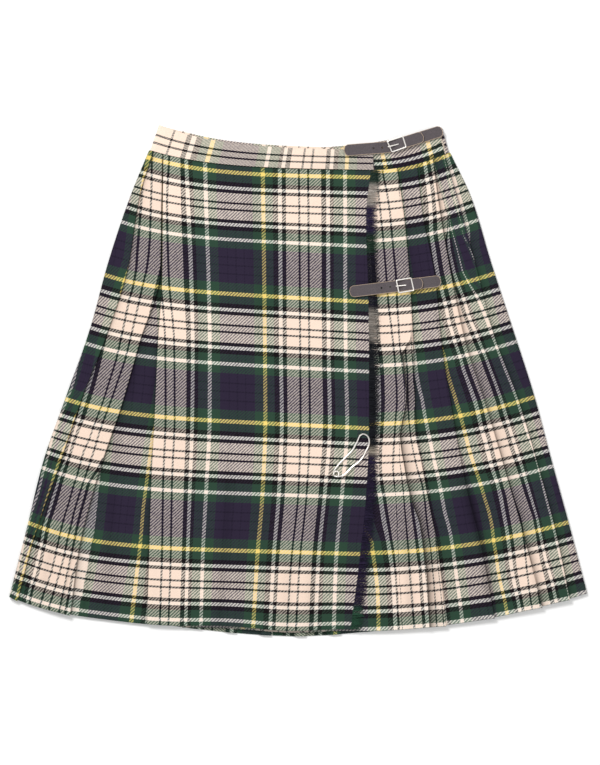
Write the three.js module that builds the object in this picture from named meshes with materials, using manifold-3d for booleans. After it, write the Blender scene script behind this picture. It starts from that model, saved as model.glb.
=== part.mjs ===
// A pleated wrap skirt laid flat, seen from above: X to the right, Y towards the waist, Z up, in mm.
// The pleated back lies lowest, the under-apron and the side pleats lie on it, and the over-apron on top.
import * as THREE from "three";
import { mergeVertices } from "three/addons/utils/BufferGeometryUtils.js";
import Module from "manifold-3d";

const wasm = await Module();
wasm.setup();

// Cloth: a napped wool twill, and the air between two layers that lie on each other
const WALL = 1.0;
const GAP = 0.3;
const LAYER = WALL + GAP;
const BACK_Z = WALL / 2;
const FRONT_Z = BACK_Z + 3 * LAYER;

// Flat outline, a row for each section from the waist seam (t 0) to the hem (t 1). Each column is a
// distance across the skirt from its centre line: the outer edges, the over-apron's fold and free edge.
const OUTLINE = [
  { t: 0, left: -179.8, apronFold: -162.6, apronEdge: 86, right: 181.2 },
  { t: 0.1, left: -201.8, apronFold: -163.2, apronEdge: 80.5, right: 206.2 },
  { t: 0.25, left: -228.7, apronFold: -163.8, apronEdge: 83, right: 230.5 },
  { t: 0.5, left: -270.4, apronFold: -171.5, apronEdge: 84, right: 273.1 },
  { t: 0.75, left: -313, apronFold: -178.1, apronEdge: 76.7, right: 310.4 },
  { t: 1, left: -347.5, apronFold: -182, apronEdge: 62, right: 345.6 },
];

// Fold lines of the same sections: the left pleats (d, b) and the right pleats (f, g, h, i)
const PLEAT_FOLDS = [
  { d: -174.3, b: -163.6, f: 117, g: 141.6, h: 160.4, i: 174.4 },
  { d: -191.3, b: -164.8, f: 125.3, g: 147.8, h: 168.2, i: 191 },
  { d: -204.8, b: -166.4, f: 132.5, g: 163.1, h: 182.1, i: 212.5 },
  { d: -250.2, b: -206.4, f: 136.8, g: 180.1, h: 216.2, i: 255.9 },
  { d: -297.6, b: -251, f: 142.5, g: 205.9, h: 254.3, i: 293.2 },
  { d: -337.4, b: -274.2, f: 155.4, g: 234.5, h: 291.6, i: 324.6 },
];
const SECTIONS = OUTLINE.map((row, k) => ({ ...row, ...PLEAT_FOLDS[k] }));

// How far each pleat's cloth is folded under, at the waist and at the hem
const DEPTHS = {
  d: { waist: 2.2, hem: 12 },
  b: { waist: 4.5, hem: 26 },
  apronFold: { waist: 8, hem: 29 },
  f: { waist: 9, hem: 16 },
  g: { waist: 8, hem: 6 },
  h: { waist: 7, hem: 15 },
  i: { waist: 4.5, hem: 12 },
};
const LEAST_STRIP = 3.2; // what is left of the outer strip past its own fold's depth
const UNDER_APRON_EDGE = -140;
const RAMP_BEFORE_EDGE = 12; // how far inside the over-apron's edge the under-apron starts to rise
const APRON_STEP_START = -148;
const APRON_STEP_END = -126;

// Curves of the weft lines: the outer edges fall straight, the middle hangs lower by a drop
const WAIST_Y = { left: 276.1, right: 273.5 };
const HEM_Y = { left: -258.5, right: -254.9 };
const LEFT_DROPS = [
  { t: 0, drop: 24, bow: 0.8, bend: 4 },
  { t: 0.27, drop: 32.5, bow: 0.45, bend: 6 },
  { t: 0.55, drop: 35.3, bow: 0.5, bend: 6 },
  { t: 0.83, drop: 37.8, bow: 0.72, bend: 6 },
  { t: 1, drop: 39.6, bow: 0.72, bend: 6 },
];
const RIGHT_DROPS = [
  { t: 0, drop: 21.4 },
  { t: 0.15, drop: 25.2 },
  { t: 0.27, drop: 25.8 },
  { t: 0.55, drop: 32.4 },
  { t: 0.83, drop: 36.8 },
  { t: 1, drop: 45.6 },
];
const BACK_DROP = { waist: 24, hem: 50, bendWaist: 2, bendHem: 1.6 };
const HEM_WAVE = { height: 4.6, length: 154, crest: -172, from: 0.82 };

// Back: knife pleats, fold edges towards the left
const BACK_PLEATS = 16;
const BACK_DEPTH = { waist: 11, hem: 9 };
const BACK_RAMP_START = 1;
const BACK_RAMP_END = 7;
const SIDE_TURN_IN = 12; // the side pieces reach this far round under the back
const SIDE_BULGE = { left: 3.2, right: 2 };

// Waistband: one band of two layers of cloth, wound from the under-apron round to the over-apron
const BAND_WALL = 2;
const BAND_ENDS = { under: UNDER_APRON_EDGE, over: 88.8 };
const BAND_TOP = { left: -168, right: 171.6, yLeft: 306.4, yRight: 303.7, drop: 30.4, backDrop: 25.4 };
const BAND_SEAM = { left: -178.4, right: 179.6 };
const BAND_Z = { back: BAND_WALL / 2, under: 4.9, over: 7.2 };
const BAND_BULGE = { left: 3, right: 2 };

// Fringe along the over-apron's free edge
const FRINGE_STRANDS = 140;
const FRINGE_STRIP = { width: 1.6, wall: 0.9 };
const STRAND = { root: 0.4, tip: 0.28, short: 8, long: 11.5, sides: 3 };
const FRINGE_REACH = FRINGE_STRIP.width + STRAND.long;

// Leather straps: places along each strap are measured from its sewn end
const LEATHER = 2;
const STRAP_WIDTH = 13.2;
const WIRE = 2.4;
const PRONG = 1.6;
const HOLE = 2.4;
const HOLE_SIDES = 8;
const HOLE_PITCH = 10.6;
const SPARE_HOLES = 2;
const UPPER = {
  ...{ x: 54, y: 275.4, turnStart: 4.5, turnEnd: 17.2, turnFrom: 46, turnTo: 62 },
  ...{ leftBar: 54, rightBar: 73, tip: 97, end: 121 },
};
const LOWER = {
  ...{ x: 60.5, y: 106.2, turnStart: 6.9, turnEnd: 6.9, turnFrom: 0, turnTo: 1 },
  ...{ leftBar: 57.4, rightBar: 76.6, tip: 88.4, end: 110 },
};

// Kilt pin: a wire safety pin, its points given on the over-apron
const PIN_WIRE = 1.8;
const PIN_SIDES = 6;
const PIN_STEPS = 60;
const PIN_COIL = { x: 44.4, y: -111.6, radius: 3.3, rise: 2.1 };
const PIN_NEEDLE = [
  { x: 69.4, y: -73.6 },
  { x: 63.6, y: -84 },
  { x: 56.4, y: -91.4 },
  { x: 49, y: -99 },
  { x: 43.2, y: -106 },
];
const PIN_BAR = [
  { x: 51.8, y: -113.9 },
  { x: 57.4, y: -109.7 },
  { x: 63.6, y: -103.3 },
  { x: 71.2, y: -97.7 },
  { x: 76.7, y: -91.3 },
  { x: 80.3, y: -84 },
  { x: 83.5, y: -77.6 },
  { x: 84, y: -71.3 },
  { x: 82.1, y: -66.5 },
  { x: 76.7, y: -63.8 },
  { x: 72, y: -66.5 },
];

const lerp = THREE.MathUtils.lerp;
const clamp01 = (v) => THREE.MathUtils.clamp(v, 0, 1);

// One row of a table at any t, each column joined up straight between its rows
function rowAt(table, t) {
  const next = Math.max(1, table.findIndex((row) => row.t >= t));
  const [a, b] = [table[next - 1], table[next]];
  const share = clamp01((t - a.t) / (b.t - a.t));
  return Object.fromEntries(Object.keys(a).map((key) => [key, lerp(a[key], b[key], share)]));
}

function depthAt(fold, t) {
  return lerp(DEPTHS[fold].waist, DEPTHS[fold].hem, t);
}

// The front hem waves a little between its pressed folds
function hemWave(x, t) {
  const share = clamp01((t - HEM_WAVE.from) / (1 - HEM_WAVE.from));
  const phase = (2 * Math.PI * (x - HEM_WAVE.crest)) / HEM_WAVE.length;
  return -HEM_WAVE.height * share * share * 0.5 * (1 + Math.cos(phase));
}

// Height on the page of the weft line t, for the layers that end at the left edge
function leftY(x, t) {
  const row = rowAt(SECTIONS, t);
  const shape = rowAt(LEFT_DROPS, t);
  const share = clamp01((x - row.left) / (row.apronEdge - row.left));
  const sag = shape.bow * (1 - (1 - share) ** shape.bend) + (1 - shape.bow) * share;
  return lerp(WAIST_Y.left, HEM_Y.left, t) - shape.drop * sag + hemWave(x, t) * share;
}

// The same for the layers that end at the right edge. Under the over-apron they run level with it.
function rightY(x, t) {
  const row = rowAt(SECTIONS, t);
  const share = clamp01((row.right - x) / (row.right - row.apronEdge));
  const seen = lerp(WAIST_Y.right, HEM_Y.right, t) - rowAt(RIGHT_DROPS, t).drop * (1 - (1 - share) ** 2);
  return x < row.apronEdge ? seen + leftY(x, t) - leftY(row.apronEdge, t) : seen;
}

// The same for the back
function backY(x, t) {
  const row = rowAt(SECTIONS, t);
  const share = clamp01((x - row.left) / (row.right - row.left));
  const edge = lerp(lerp(WAIST_Y.left, HEM_Y.left, t), lerp(WAIST_Y.right, HEM_Y.right, t), share);
  const bend = lerp(BACK_DROP.bendWaist, BACK_DROP.bendHem, t);
  return edge - lerp(BACK_DROP.waist, BACK_DROP.hem, t) * (1 - Math.abs(2 * share - 1) ** bend);
}

// A half turn in a section, from height zStart to zEnd, bulging towards side (+1 right, -1 left)
function turn(x, zStart, zEnd, side, reach, steps) {
  const points = [];
  for (let k = 0; k <= steps; k++) {
    const angle = (Math.PI * k) / steps;
    const z = lerp(zStart, zEnd, (1 - Math.cos(angle)) / 2);
    points.push({ x: x - side * reach * (1 - Math.sin(angle)), z });
  }
  return points;
}

const TURN_REACH = LAYER / 2;
const TURN_STEPS = 6;
const FOLD_STEPS = 3;

// Lowest heights at which each panel of a run of right-facing folds clears the folds under it.
// folds lists { x, depth } from left to right; the last panel lies flat at height 0.
function panelHeights(folds, firstStart) {
  const panels = folds.map(() => null);
  let under = { start: folds.at(-1).x - folds.at(-1).depth, startZ: 0, slope: 0 };
  for (let k = folds.length - 1; k >= 0; k--) {
    const { x, depth } = folds[k];
    const start = k > 0 ? folds[k - 1].x - folds[k - 1].depth : firstStart;
    const overNext = under.slope * depth + 2 * LAYER;
    const overTurn = (2 * LAYER) / (1 - depth / (x - start));
    const top = Math.max(overNext, overTurn);
    panels[k] = { start, end: x, top, slope: top / (x - start) };
    under = panels[k];
  }
  return panels;
}

// The fold itself: over, round, back under for its depth, and round again into the next panel
function foldPoints(fold, top) {
  const edge = fold.x - WALL / 2;
  const inner = fold.x - fold.depth;
  return [
    ...turn(edge, FRONT_Z + top, FRONT_Z + top - LAYER, 1, TURN_REACH, FOLD_STEPS),
    ...turn(inner, FRONT_Z + LAYER, FRONT_Z, -1, TURN_REACH, FOLD_STEPS),
  ];
}

function leftFolds(t) {
  const row = rowAt(SECTIONS, t);
  const stripDepth = Math.min(depthAt("d", t), row.d - row.left - LEAST_STRIP);
  return [
    { x: row.d, depth: stripDepth },
    { x: row.b, depth: depthAt("b", t) },
  ];
}

function rightFolds(t) {
  const row = rowAt(SECTIONS, t);
  return ["f", "g", "h", "i"].map((name) => ({ x: row[name], depth: depthAt(name, t) }));
}

// The under-apron: flat under the over-apron, then rising to the first right-hand fold
function underApronZ(x, t) {
  const row = rowAt(SECTIONS, t);
  const start = row.apronEdge - RAMP_BEFORE_EDGE;
  const [panel] = panelHeights(rightFolds(t), start);
  return FRONT_Z + Math.max(0, x - start) * panel.slope;
}

function overApronZ(x, t) {
  const step = clamp01((APRON_STEP_END - x) / (APRON_STEP_END - APRON_STEP_START));
  return underApronZ(x, t) + LAYER * (1 + step);
}

// Top surface of the cloth under the straps and the pin
function frontTop(x, t) {
  const row = rowAt(SECTIONS, t);
  if (x <= row.apronEdge) return overApronZ(x, t) + WALL / 2;
  if (x <= row.apronEdge + FRINGE_REACH) {
    return Math.max(overApronZ(row.apronEdge, t), underApronZ(x, t) + LAYER) + WALL / 2;
  }
  if (x <= row.f) return underApronZ(x, t) + WALL / 2;
  const panels = panelHeights(rightFolds(t), row.apronEdge - RAMP_BEFORE_EDGE);
  const panel = panels.find((p) => x <= p.end);
  return FRONT_Z + WALL / 2 + (panel ? (x - panel.start) * panel.slope : 0);
}

// Points between two places in a section, both ends left out, so that a wide panel can curve in plan
function between(a, b, count) {
  return Array.from({ length: count }, (_, k) => {
    const share = (k + 1) / (count + 1);
    return { x: lerp(a.x, b.x, share), z: lerp(a.z, b.z, share) };
  });
}

// Points along each right-hand panel, which is what lets a wide one curve in plan
const PANEL_POINTS = [3, 3, 1, 2];

// The part of a side turn that lies among the back's layers follows the back's weft lines
const isUnder = (point) => point.z < FRONT_Z - LAYER;

function leftSection(t) {
  const row = rowAt(SECTIONS, t);
  const folds = leftFolds(t);
  const striped = panelHeights(folds, row.left)[1];
  const stripTop = striped.slope * folds[0].depth + 2 * LAYER;
  const edge = row.left + WALL / 2;
  const bedded = { x: folds[1].x - folds[1].depth, z: FRONT_Z };
  const underlayEnd = { x: row.apronFold + depthAt("apronFold", t), z: FRONT_Z };
  const stripedStart = { x: striped.start, z: FRONT_Z };
  const stripedEnd = { x: striped.end - WALL / 2, z: FRONT_Z + striped.top };
  const points = [
    { x: row.left + SIDE_TURN_IN, z: BACK_Z },
    ...turn(edge, BACK_Z, FRONT_Z + stripTop, -1, SIDE_BULGE.left, TURN_STEPS),
    ...foldPoints(folds[0], stripTop),
    ...between(stripedStart, stripedEnd, 2),
    ...foldPoints(folds[1], striped.top),
    ...between(bedded, underlayEnd, 2),
    underlayEnd,
  ];
  return points.map((p) => ({ ...p, y: (isUnder(p) ? backY : leftY)(p.x, t) }));
}

function rightSection(t) {
  const row = rowAt(SECTIONS, t);
  const rampStart = row.apronEdge - RAMP_BEFORE_EDGE;
  const folds = rightFolds(t);
  const panels = panelHeights(folds, rampStart);
  const start = { x: UNDER_APRON_EDGE, z: FRONT_Z };
  const ramp = { x: rampStart, z: FRONT_Z };
  const edge = row.right - WALL / 2;
  const bedded = { x: folds.at(-1).x - folds.at(-1).depth, z: FRONT_Z };
  const points = [start, ...between(start, ramp, 5), ramp];
  folds.forEach((fold, k) => {
    const from = { x: panels[k].start, z: FRONT_Z };
    const to = { x: panels[k].end - WALL / 2, z: FRONT_Z + panels[k].top };
    points.push(...between(from, to, PANEL_POINTS[k]), ...foldPoints(fold, panels[k].top));
  });
  points.push(
    ...between(bedded, { x: edge, z: FRONT_Z }, 1),
    ...turn(edge, FRONT_Z, BACK_Z, 1, SIDE_BULGE.right, TURN_STEPS),
    { x: row.right - SIDE_TURN_IN, z: BACK_Z },
  );
  return points.map((p) => ({ ...p, y: (isUnder(p) ? backY : rightY)(p.x, t) }));
}

function apronSection(t) {
  const row = rowAt(SECTIONS, t);
  const foldX = row.apronFold + WALL / 2;
  const top = overApronZ(row.apronFold, t);
  const step = { x: APRON_STEP_END, z: overApronZ(APRON_STEP_END, t) };
  const rampStart = row.apronEdge - RAMP_BEFORE_EDGE;
  const ramp = { x: rampStart, z: overApronZ(rampStart, t) };
  const points = [
    { x: row.apronFold + depthAt("apronFold", t), z: FRONT_Z + LAYER },
    ...turn(foldX, FRONT_Z + LAYER, top, -1, TURN_REACH, FOLD_STEPS),
    { x: APRON_STEP_START, z: top },
    step,
    ...between(step, ramp, 8),
    ramp,
    { x: row.apronEdge, z: overApronZ(row.apronEdge, t) },
  ];
  return points.map((p) => ({ ...p, y: leftY(p.x, t) }));
}

function backSection(t) {
  const row = rowAt(SECTIONS, t);
  const start = row.right - SIDE_TURN_IN - GAP;
  const end = row.left + SIDE_TURN_IN + GAP;
  const pitch = (start - end) / BACK_PLEATS;
  const depth = lerp(BACK_DEPTH.waist, BACK_DEPTH.hem, t);
  const points = [{ x: start, z: BACK_Z }];
  for (let k = 1; k < BACK_PLEATS; k++) {
    const fold = start - k * pitch;
    points.push(
      ...turn(fold + WALL / 2, BACK_Z, BACK_Z + LAYER, -1, TURN_REACH, 2),
      ...turn(fold + depth, BACK_Z + LAYER, BACK_Z + 2 * LAYER, 1, TURN_REACH, 2),
      { x: fold - BACK_RAMP_START, z: BACK_Z + 2 * LAYER },
      { x: fold - BACK_RAMP_END, z: BACK_Z },
    );
  }
  points.push({ x: end, z: BACK_Z });
  return points.map((p) => ({ ...p, y: backY(p.x, t) }));
}

// Waistband sections: the top edge (level 0) and the seam (level 1), where it meets the cloth's top edges
const BAND_STEPS = 20;
const SEAM_GAP = 0.4;

function bandTopOver(x) {
  const share = clamp01((x - BAND_TOP.left) / (BAND_ENDS.over - BAND_TOP.left));
  const { bow, bend } = LEFT_DROPS[0];
  return BAND_TOP.yLeft - BAND_TOP.drop * (bow * (1 - (1 - share) ** bend) + (1 - bow) * share);
}

function bandTopUnder(x) {
  const share = clamp01((BAND_TOP.right - x) / (BAND_TOP.right - BAND_ENDS.over));
  const seen = BAND_TOP.yRight - BAND_TOP.backDrop * (1 - (1 - share) ** 2);
  return x < BAND_ENDS.over ? seen + bandTopOver(x) - bandTopOver(BAND_ENDS.over) : seen;
}

function bandTopBack(x) {
  const share = clamp01((x - BAND_TOP.left) / (BAND_TOP.right - BAND_TOP.left));
  const edge = lerp(BAND_TOP.yLeft, BAND_TOP.yRight, share);
  return edge - BAND_TOP.backDrop * (1 - (2 * share - 1) ** 2);
}

const BAND_EDGES = [
  { under: bandTopUnder, back: bandTopBack, over: bandTopOver },
  {
    under: (x) => rightY(x, 0) + SEAM_GAP,
    back: (x) => backY(x, 0) + SEAM_GAP,
    over: (x) => leftY(x, 0) + SEAM_GAP,
  },
];

function bandSection(level) {
  const left = lerp(BAND_TOP.left, BAND_SEAM.left, level) + BAND_WALL / 2;
  const right = lerp(BAND_TOP.right, BAND_SEAM.right, level) - BAND_WALL / 2;
  const rightTurn = turn(right, BAND_Z.under, BAND_Z.back, 1, BAND_BULGE.right, TURN_STEPS);
  const leftTurn = turn(left, BAND_Z.back, BAND_Z.over, -1, BAND_BULGE.left, TURN_STEPS);
  const underEnd = { x: BAND_ENDS.under, z: BAND_Z.under };
  const overEnd = { x: BAND_ENDS.over, z: BAND_Z.over };
  const back = [...rightTurn, ...between(rightTurn.at(-1), leftTurn[0], BAND_STEPS), ...leftTurn];
  const place = (points, layer) => points.map((p) => ({ ...p, y: BAND_EDGES[level][layer](p.x) }));
  return [
    ...place([underEnd, ...between(underEnd, rightTurn[0], BAND_STEPS)], "under"),
    ...place(back, "back"),
    ...place([...between(leftTurn.at(-1), overEnd, BAND_STEPS), overEnd], "over"),
  ];
}

// A wall of even thickness about rows of points. Each row is one section, in order down the cloth.
function wall(rows, thickness) {
  const count = rows[0].length;
  const position = [];
  for (const side of [1, -1]) {
    for (const row of rows) {
      row.forEach((p, k) => {
        const before = row[Math.max(0, k - 1)];
        const after = row[Math.min(count - 1, k + 1)];
        const into = new THREE.Vector2(p.x - before.x, p.z - before.z).normalize();
        const out = new THREE.Vector2(after.x - p.x, after.z - p.z).normalize();
        const along = into.clone().add(out).normalize();
        const bend = Math.max(0.6, Math.abs(along.dot(k > 0 ? into : out)));
        const offset = (side * thickness) / 2 / bend;
        position.push(p.x - along.y * offset, p.y, p.z + along.x * offset);
      });
    }
  }
  const index = [];
  const id = (side, r, k) => (side * rows.length + r) * count + k;
  const quad = (a, b, c, d) => index.push(a, b, c, a, c, d);
  for (let r = 0; r + 1 < rows.length; r++) {
    for (let k = 0; k + 1 < count; k++) {
      quad(id(0, r, k), id(0, r + 1, k), id(0, r + 1, k + 1), id(0, r, k + 1));
      quad(id(1, r, k), id(1, r, k + 1), id(1, r + 1, k + 1), id(1, r + 1, k));
    }
    quad(id(0, r, 0), id(1, r, 0), id(1, r + 1, 0), id(0, r + 1, 0));
    quad(id(0, r, count - 1), id(0, r + 1, count - 1), id(1, r + 1, count - 1), id(1, r, count - 1));
  }
  const last = rows.length - 1;
  for (let k = 0; k + 1 < count; k++) {
    quad(id(0, 0, k), id(0, 0, k + 1), id(1, 0, k + 1), id(1, 0, k));
    quad(id(0, last, k), id(1, last, k), id(1, last, k + 1), id(0, last, k + 1));
  }
  const geometry = new THREE.BufferGeometry();
  geometry.setAttribute("position", new THREE.Float32BufferAttribute(position, 3));
  geometry.setIndex(signedVolume(position, index) < 0 ? index.reverse() : index);
  return geometry;
}

function signedVolume(position, index) {
  const corner = (k) => new THREE.Vector3().fromArray(position, 3 * index[k]);
  let volume = 0;
  for (let k = 0; k < index.length; k += 3) {
    volume += corner(k).dot(corner(k + 1).cross(corner(k + 2))) / 6;
  }
  return volume;
}

const sheet = (section) => wall(SECTIONS.map(({ t }) => section(t)), WALL);

// Joining and cutting of closed geometries
function toSolid(geometry) {
  const bare = new THREE.BufferGeometry();
  bare.setAttribute("position", geometry.getAttribute("position"));
  if (geometry.index) bare.setIndex(geometry.index);
  const merged = mergeVertices(bare, 1e-4);
  return new wasm.Manifold(
    new wasm.Mesh({
      numProp: 3,
      vertProperties: new Float32Array(merged.attributes.position.array),
      triVerts: new Uint32Array(merged.index.array),
    }),
  );
}

function toGeometry(solid) {
  const mesh = solid.getMesh();
  const geometry = new THREE.BufferGeometry();
  geometry.setAttribute("position", new THREE.BufferAttribute(new Float32Array(mesh.vertProperties), 3));
  geometry.setIndex(new THREE.BufferAttribute(new Uint32Array(mesh.triVerts), 1));
  return geometry;
}

// A straight bar between two points, with radii at its two ends
function bar(from, to, fromRadius, toRadius, sides) {
  const along = new THREE.Vector3().subVectors(to, from);
  const geometry = new THREE.CylinderGeometry(toRadius, fromRadius, along.length(), sides);
  const turned = new THREE.Quaternion().setFromUnitVectors(
    new THREE.Vector3(0, 1, 0),
    along.clone().normalize(),
  );
  geometry.applyQuaternion(turned);
  geometry.translate(...from.clone().add(to).multiplyScalar(0.5).toArray());
  return geometry;
}

// Uneven but repeatable numbers from 0 to 1
const uneven = (k, seed) => {
  const v = Math.sin(k * 12.9898 + seed * 78.233) * 43758.5453;
  return v - Math.floor(v);
};

function fringe() {
  const strip = wall(
    SECTIONS.map(({ t }) => {
      const edge = rowAt(SECTIONS, t).apronEdge + GAP;
      return [edge, edge + FRINGE_STRIP.width].map((x) => ({ x, y: leftY(x, t), z: overApronZ(x, t) }));
    }),
    FRINGE_STRIP.wall,
  );
  let comb = toSolid(strip);
  for (let k = 0; k < FRINGE_STRANDS; k++) {
    const t = (k + 0.6) / (FRINGE_STRANDS + 0.2);
    const rootX = rowAt(SECTIONS, t).apronEdge + GAP + FRINGE_STRIP.width * 0.6;
    const length = lerp(STRAND.short, STRAND.long, uneven(k, 1));
    const sweep = lerp(-3.5, 0.6, uneven(k, 2));
    const tipX = rootX + length;
    const root = new THREE.Vector3(rootX, leftY(rootX, t), overApronZ(rootX, t));
    const tipZ = underApronZ(tipX, t) + WALL / 2 + GAP + STRAND.root;
    const tip = new THREE.Vector3(tipX, root.y + sweep * t, tipZ);
    comb = comb.add(toSolid(bar(root, tip, STRAND.root, STRAND.tip, STRAND.sides)));
  }
  return toGeometry(comb);
}

// A place on the cloth that a piece lies over: t of the weft line through (x, y)
function sectionThrough(x, y) {
  let [low, high] = [0, 1];
  for (let k = 0; k < 24; k++) {
    const middle = (low + high) / 2;
    if (rightY(x, middle) > y) low = middle;
    else high = middle;
  }
  return (low + high) / 2;
}

// Height of a stiff piece that spans from one high place of the cloth to the next
const SPAN_SLOPE = 0.1;
const SPAN_REACH = 34;

function spanned(surface, x, y) {
  let top = -Infinity;
  for (let dx = -SPAN_REACH; dx <= SPAN_REACH; dx += 1) {
    top = Math.max(top, surface(x + dx, y) - SPAN_SLOPE * Math.abs(dx));
  }
  return top;
}

const clothSurface = (x, y) => frontTop(x, sectionThrough(x, y));
const bandSurface = (x) => (x <= BAND_ENDS.over ? BAND_Z.over : BAND_Z.under) + BAND_WALL / 2;

// Middle line of a strap in plan, u mm from its sewn end
function strapAxis(strap, u) {
  const steps = 40;
  const at = new THREE.Vector2(strap.x, strap.y);
  let angle = 0;
  for (let k = 0; k < steps; k++) {
    const place = (u * (k + 0.5)) / steps;
    const share = THREE.MathUtils.smoothstep(place, strap.turnFrom, strap.turnTo);
    angle = THREE.MathUtils.degToRad(lerp(strap.turnStart, strap.turnEnd, share));
    at.add(new THREE.Vector2(Math.cos(angle), Math.sin(angle)).multiplyScalar(u / steps));
  }
  return { at, angle };
}

function strapPoint(strap, u, v, z) {
  const { at, angle } = strapAxis(strap, u);
  return new THREE.Vector3(at.x - v * Math.sin(angle), at.y + v * Math.cos(angle), z);
}

function restingZ(strap, surface, u) {
  const { at } = strapAxis(strap, u);
  return spanned(surface, at.x, at.y) + GAP;
}

// Heights along the strap: under the left bar, over the right bar, and down on to the tab
function strapZ(strap, surface, u) {
  const rest = restingZ(strap, surface, u) + LEATHER / 2;
  const overBar = WIRE + GAP;
  const rise = THREE.MathUtils.smoothstep(u, strap.leftBar + WIRE, strap.rightBar - WIRE);
  const fall = THREE.MathUtils.smoothstep(u, strap.rightBar + WIRE, strap.rightBar + 3 * WIRE);
  return rest + overBar * rise - (overBar - LEATHER - GAP) * fall;
}

// A flat strip of leather with rounded ends
const STRIP_ROWS = [-1, -0.75, 0, 0.75, 1];
const STRIP_STEPS = 14;
const END_ROUNDING = 0.7;

function leatherStrip(strap, from, to, roundFrom, roundTo, zAt) {
  const half = STRAP_WIDTH / 2;
  const rows = STRIP_ROWS.map((share) => {
    const inset = half * END_ROUNDING * (1 - Math.sqrt(1 - share * share));
    const start = from + (roundFrom ? inset : 0);
    const end = to - (roundTo ? inset : 0);
    return Array.from({ length: STRIP_STEPS + 1 }, (_, k) => {
      const u = lerp(start, end, k / STRIP_STEPS);
      return strapPoint(strap, u, share * half, zAt(u));
    });
  });
  return wall(rows, LEATHER);
}

function strapGeometry(strap, surface) {
  const zAt = (u) => strapZ(strap, surface, u);
  let leather = toSolid(leatherStrip(strap, 0, strap.tip, true, true, zAt));
  for (let k = 1; k <= SPARE_HOLES; k++) {
    const u = strap.leftBar + WIRE - k * HOLE_PITCH;
    const low = strapPoint(strap, u, 0, zAt(u) - LEATHER);
    const high = strapPoint(strap, u, 0, zAt(u) + LEATHER);
    leather = leather.subtract(toSolid(bar(low, high, HOLE / 2, HOLE / 2, HOLE_SIDES)));
  }
  const { from, to } = prongLine(strap, surface);
  const [slotFrom, slotTo] = [0.1, 0.75].map((share) => from.clone().lerp(to, share));
  const slot = bar(slotFrom, slotTo, HOLE / 2, HOLE / 2, HOLE_SIDES);
  return toGeometry(leather.subtract(toSolid(slot)));
}

function tabGeometry(strap, surface) {
  const from = strap.rightBar + WIRE / 2 + GAP;
  const zAt = (u) => restingZ(strap, surface, u) + LEATHER / 2;
  return leatherStrip(strap, from, strap.end, false, true, zAt);
}

function buckleHeights(strap, surface) {
  const left = strapZ(strap, surface, strap.leftBar) + LEATHER / 2 + GAP + WIRE / 2;
  const right = restingZ(strap, surface, strap.rightBar) + WIRE / 2;
  return { left, right };
}

// A tube of even radius along points, closed at its ends or round on itself
function tube(points, radius, sides, steps, closed) {
  const path = new THREE.CatmullRomCurve3(points, closed, "centripetal");
  const section = new THREE.Shape();
  for (let k = 0; k < sides; k++) {
    const angle = (2 * Math.PI * k) / sides;
    const [a, b] = [radius * Math.cos(angle), radius * Math.sin(angle)];
    if (k === 0) section.moveTo(a, b);
    else section.lineTo(a, b);
  }
  section.closePath();
  return new THREE.ExtrudeGeometry(section, { steps, extrudePath: path, bevelEnabled: false });
}

// Buckle frame: four straight bars with rounded corners, its left bar higher than its right one
const FRAME_SPREAD = 1.75;
const CORNER = 0.8; // a bar starts this far inside its corner
const KNUCKLE = 0.05;
const BAR_SIDES = 6;

function buckleGeometry(strap, surface) {
  const { left, right } = buckleHeights(strap, surface);
  const half = STRAP_WIDTH / 2 + FRAME_SPREAD;
  const corners = [
    { u: strap.leftBar, v: -half, z: left },
    { u: strap.rightBar, v: -half, z: right },
    { u: strap.rightBar, v: half, z: right },
    { u: strap.leftBar, v: half, z: left },
  ];
  const points = corners.map(({ u, v, z }) => strapPoint(strap, u, v, z));
  let frame = null;
  points.forEach((corner, k) => {
    const next = points[(k + 1) % points.length];
    const inward = (from, to) => from.clone().add(to.clone().sub(from).setLength(CORNER));
    const side = toSolid(bar(inward(corner, next), inward(next, corner), WIRE / 2, WIRE / 2, BAR_SIDES));
    const knuckle = new THREE.SphereGeometry(WIRE / 2 + KNUCKLE, BAR_SIDES, 5);
    knuckle.translate(...inward(corner, next).lerp(inward(corner, points.at(k - 1)), 0.5).toArray());
    frame = frame ? frame.add(side) : side;
    frame = frame.add(toSolid(knuckle));
  });
  return toGeometry(frame);
}

// The prong runs straight from the right bar up through the strap's hole and over the left bar
function prongLine(strap, surface) {
  const { left, right } = buckleHeights(strap, surface);
  const from = strapPoint(strap, strap.rightBar - WIRE / 2 - GAP, 0, right);
  const to = strapPoint(strap, strap.leftBar, 0, left + WIRE / 2 + GAP + PRONG / 2);
  return { from, to };
}

function prongGeometry(strap, surface) {
  const { from, to } = prongLine(strap, surface);
  const tip = strapPoint(strap, strap.leftBar - PRONG, 0, to.z);
  const points = [from, from.clone().lerp(to, 0.35), from.clone().lerp(to, 0.7), to, tip];
  return tube(points, PRONG / 2, 6, 8, false);
}

// The pin: needle, a coil of a turn and a half rising over itself, and the bar back to the catch
const COIL = { points: 11, perTurn: 8, startAngle: 0.85 * Math.PI };
const BAR_SETTLE = { points: 5, least: 0.25 };

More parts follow.
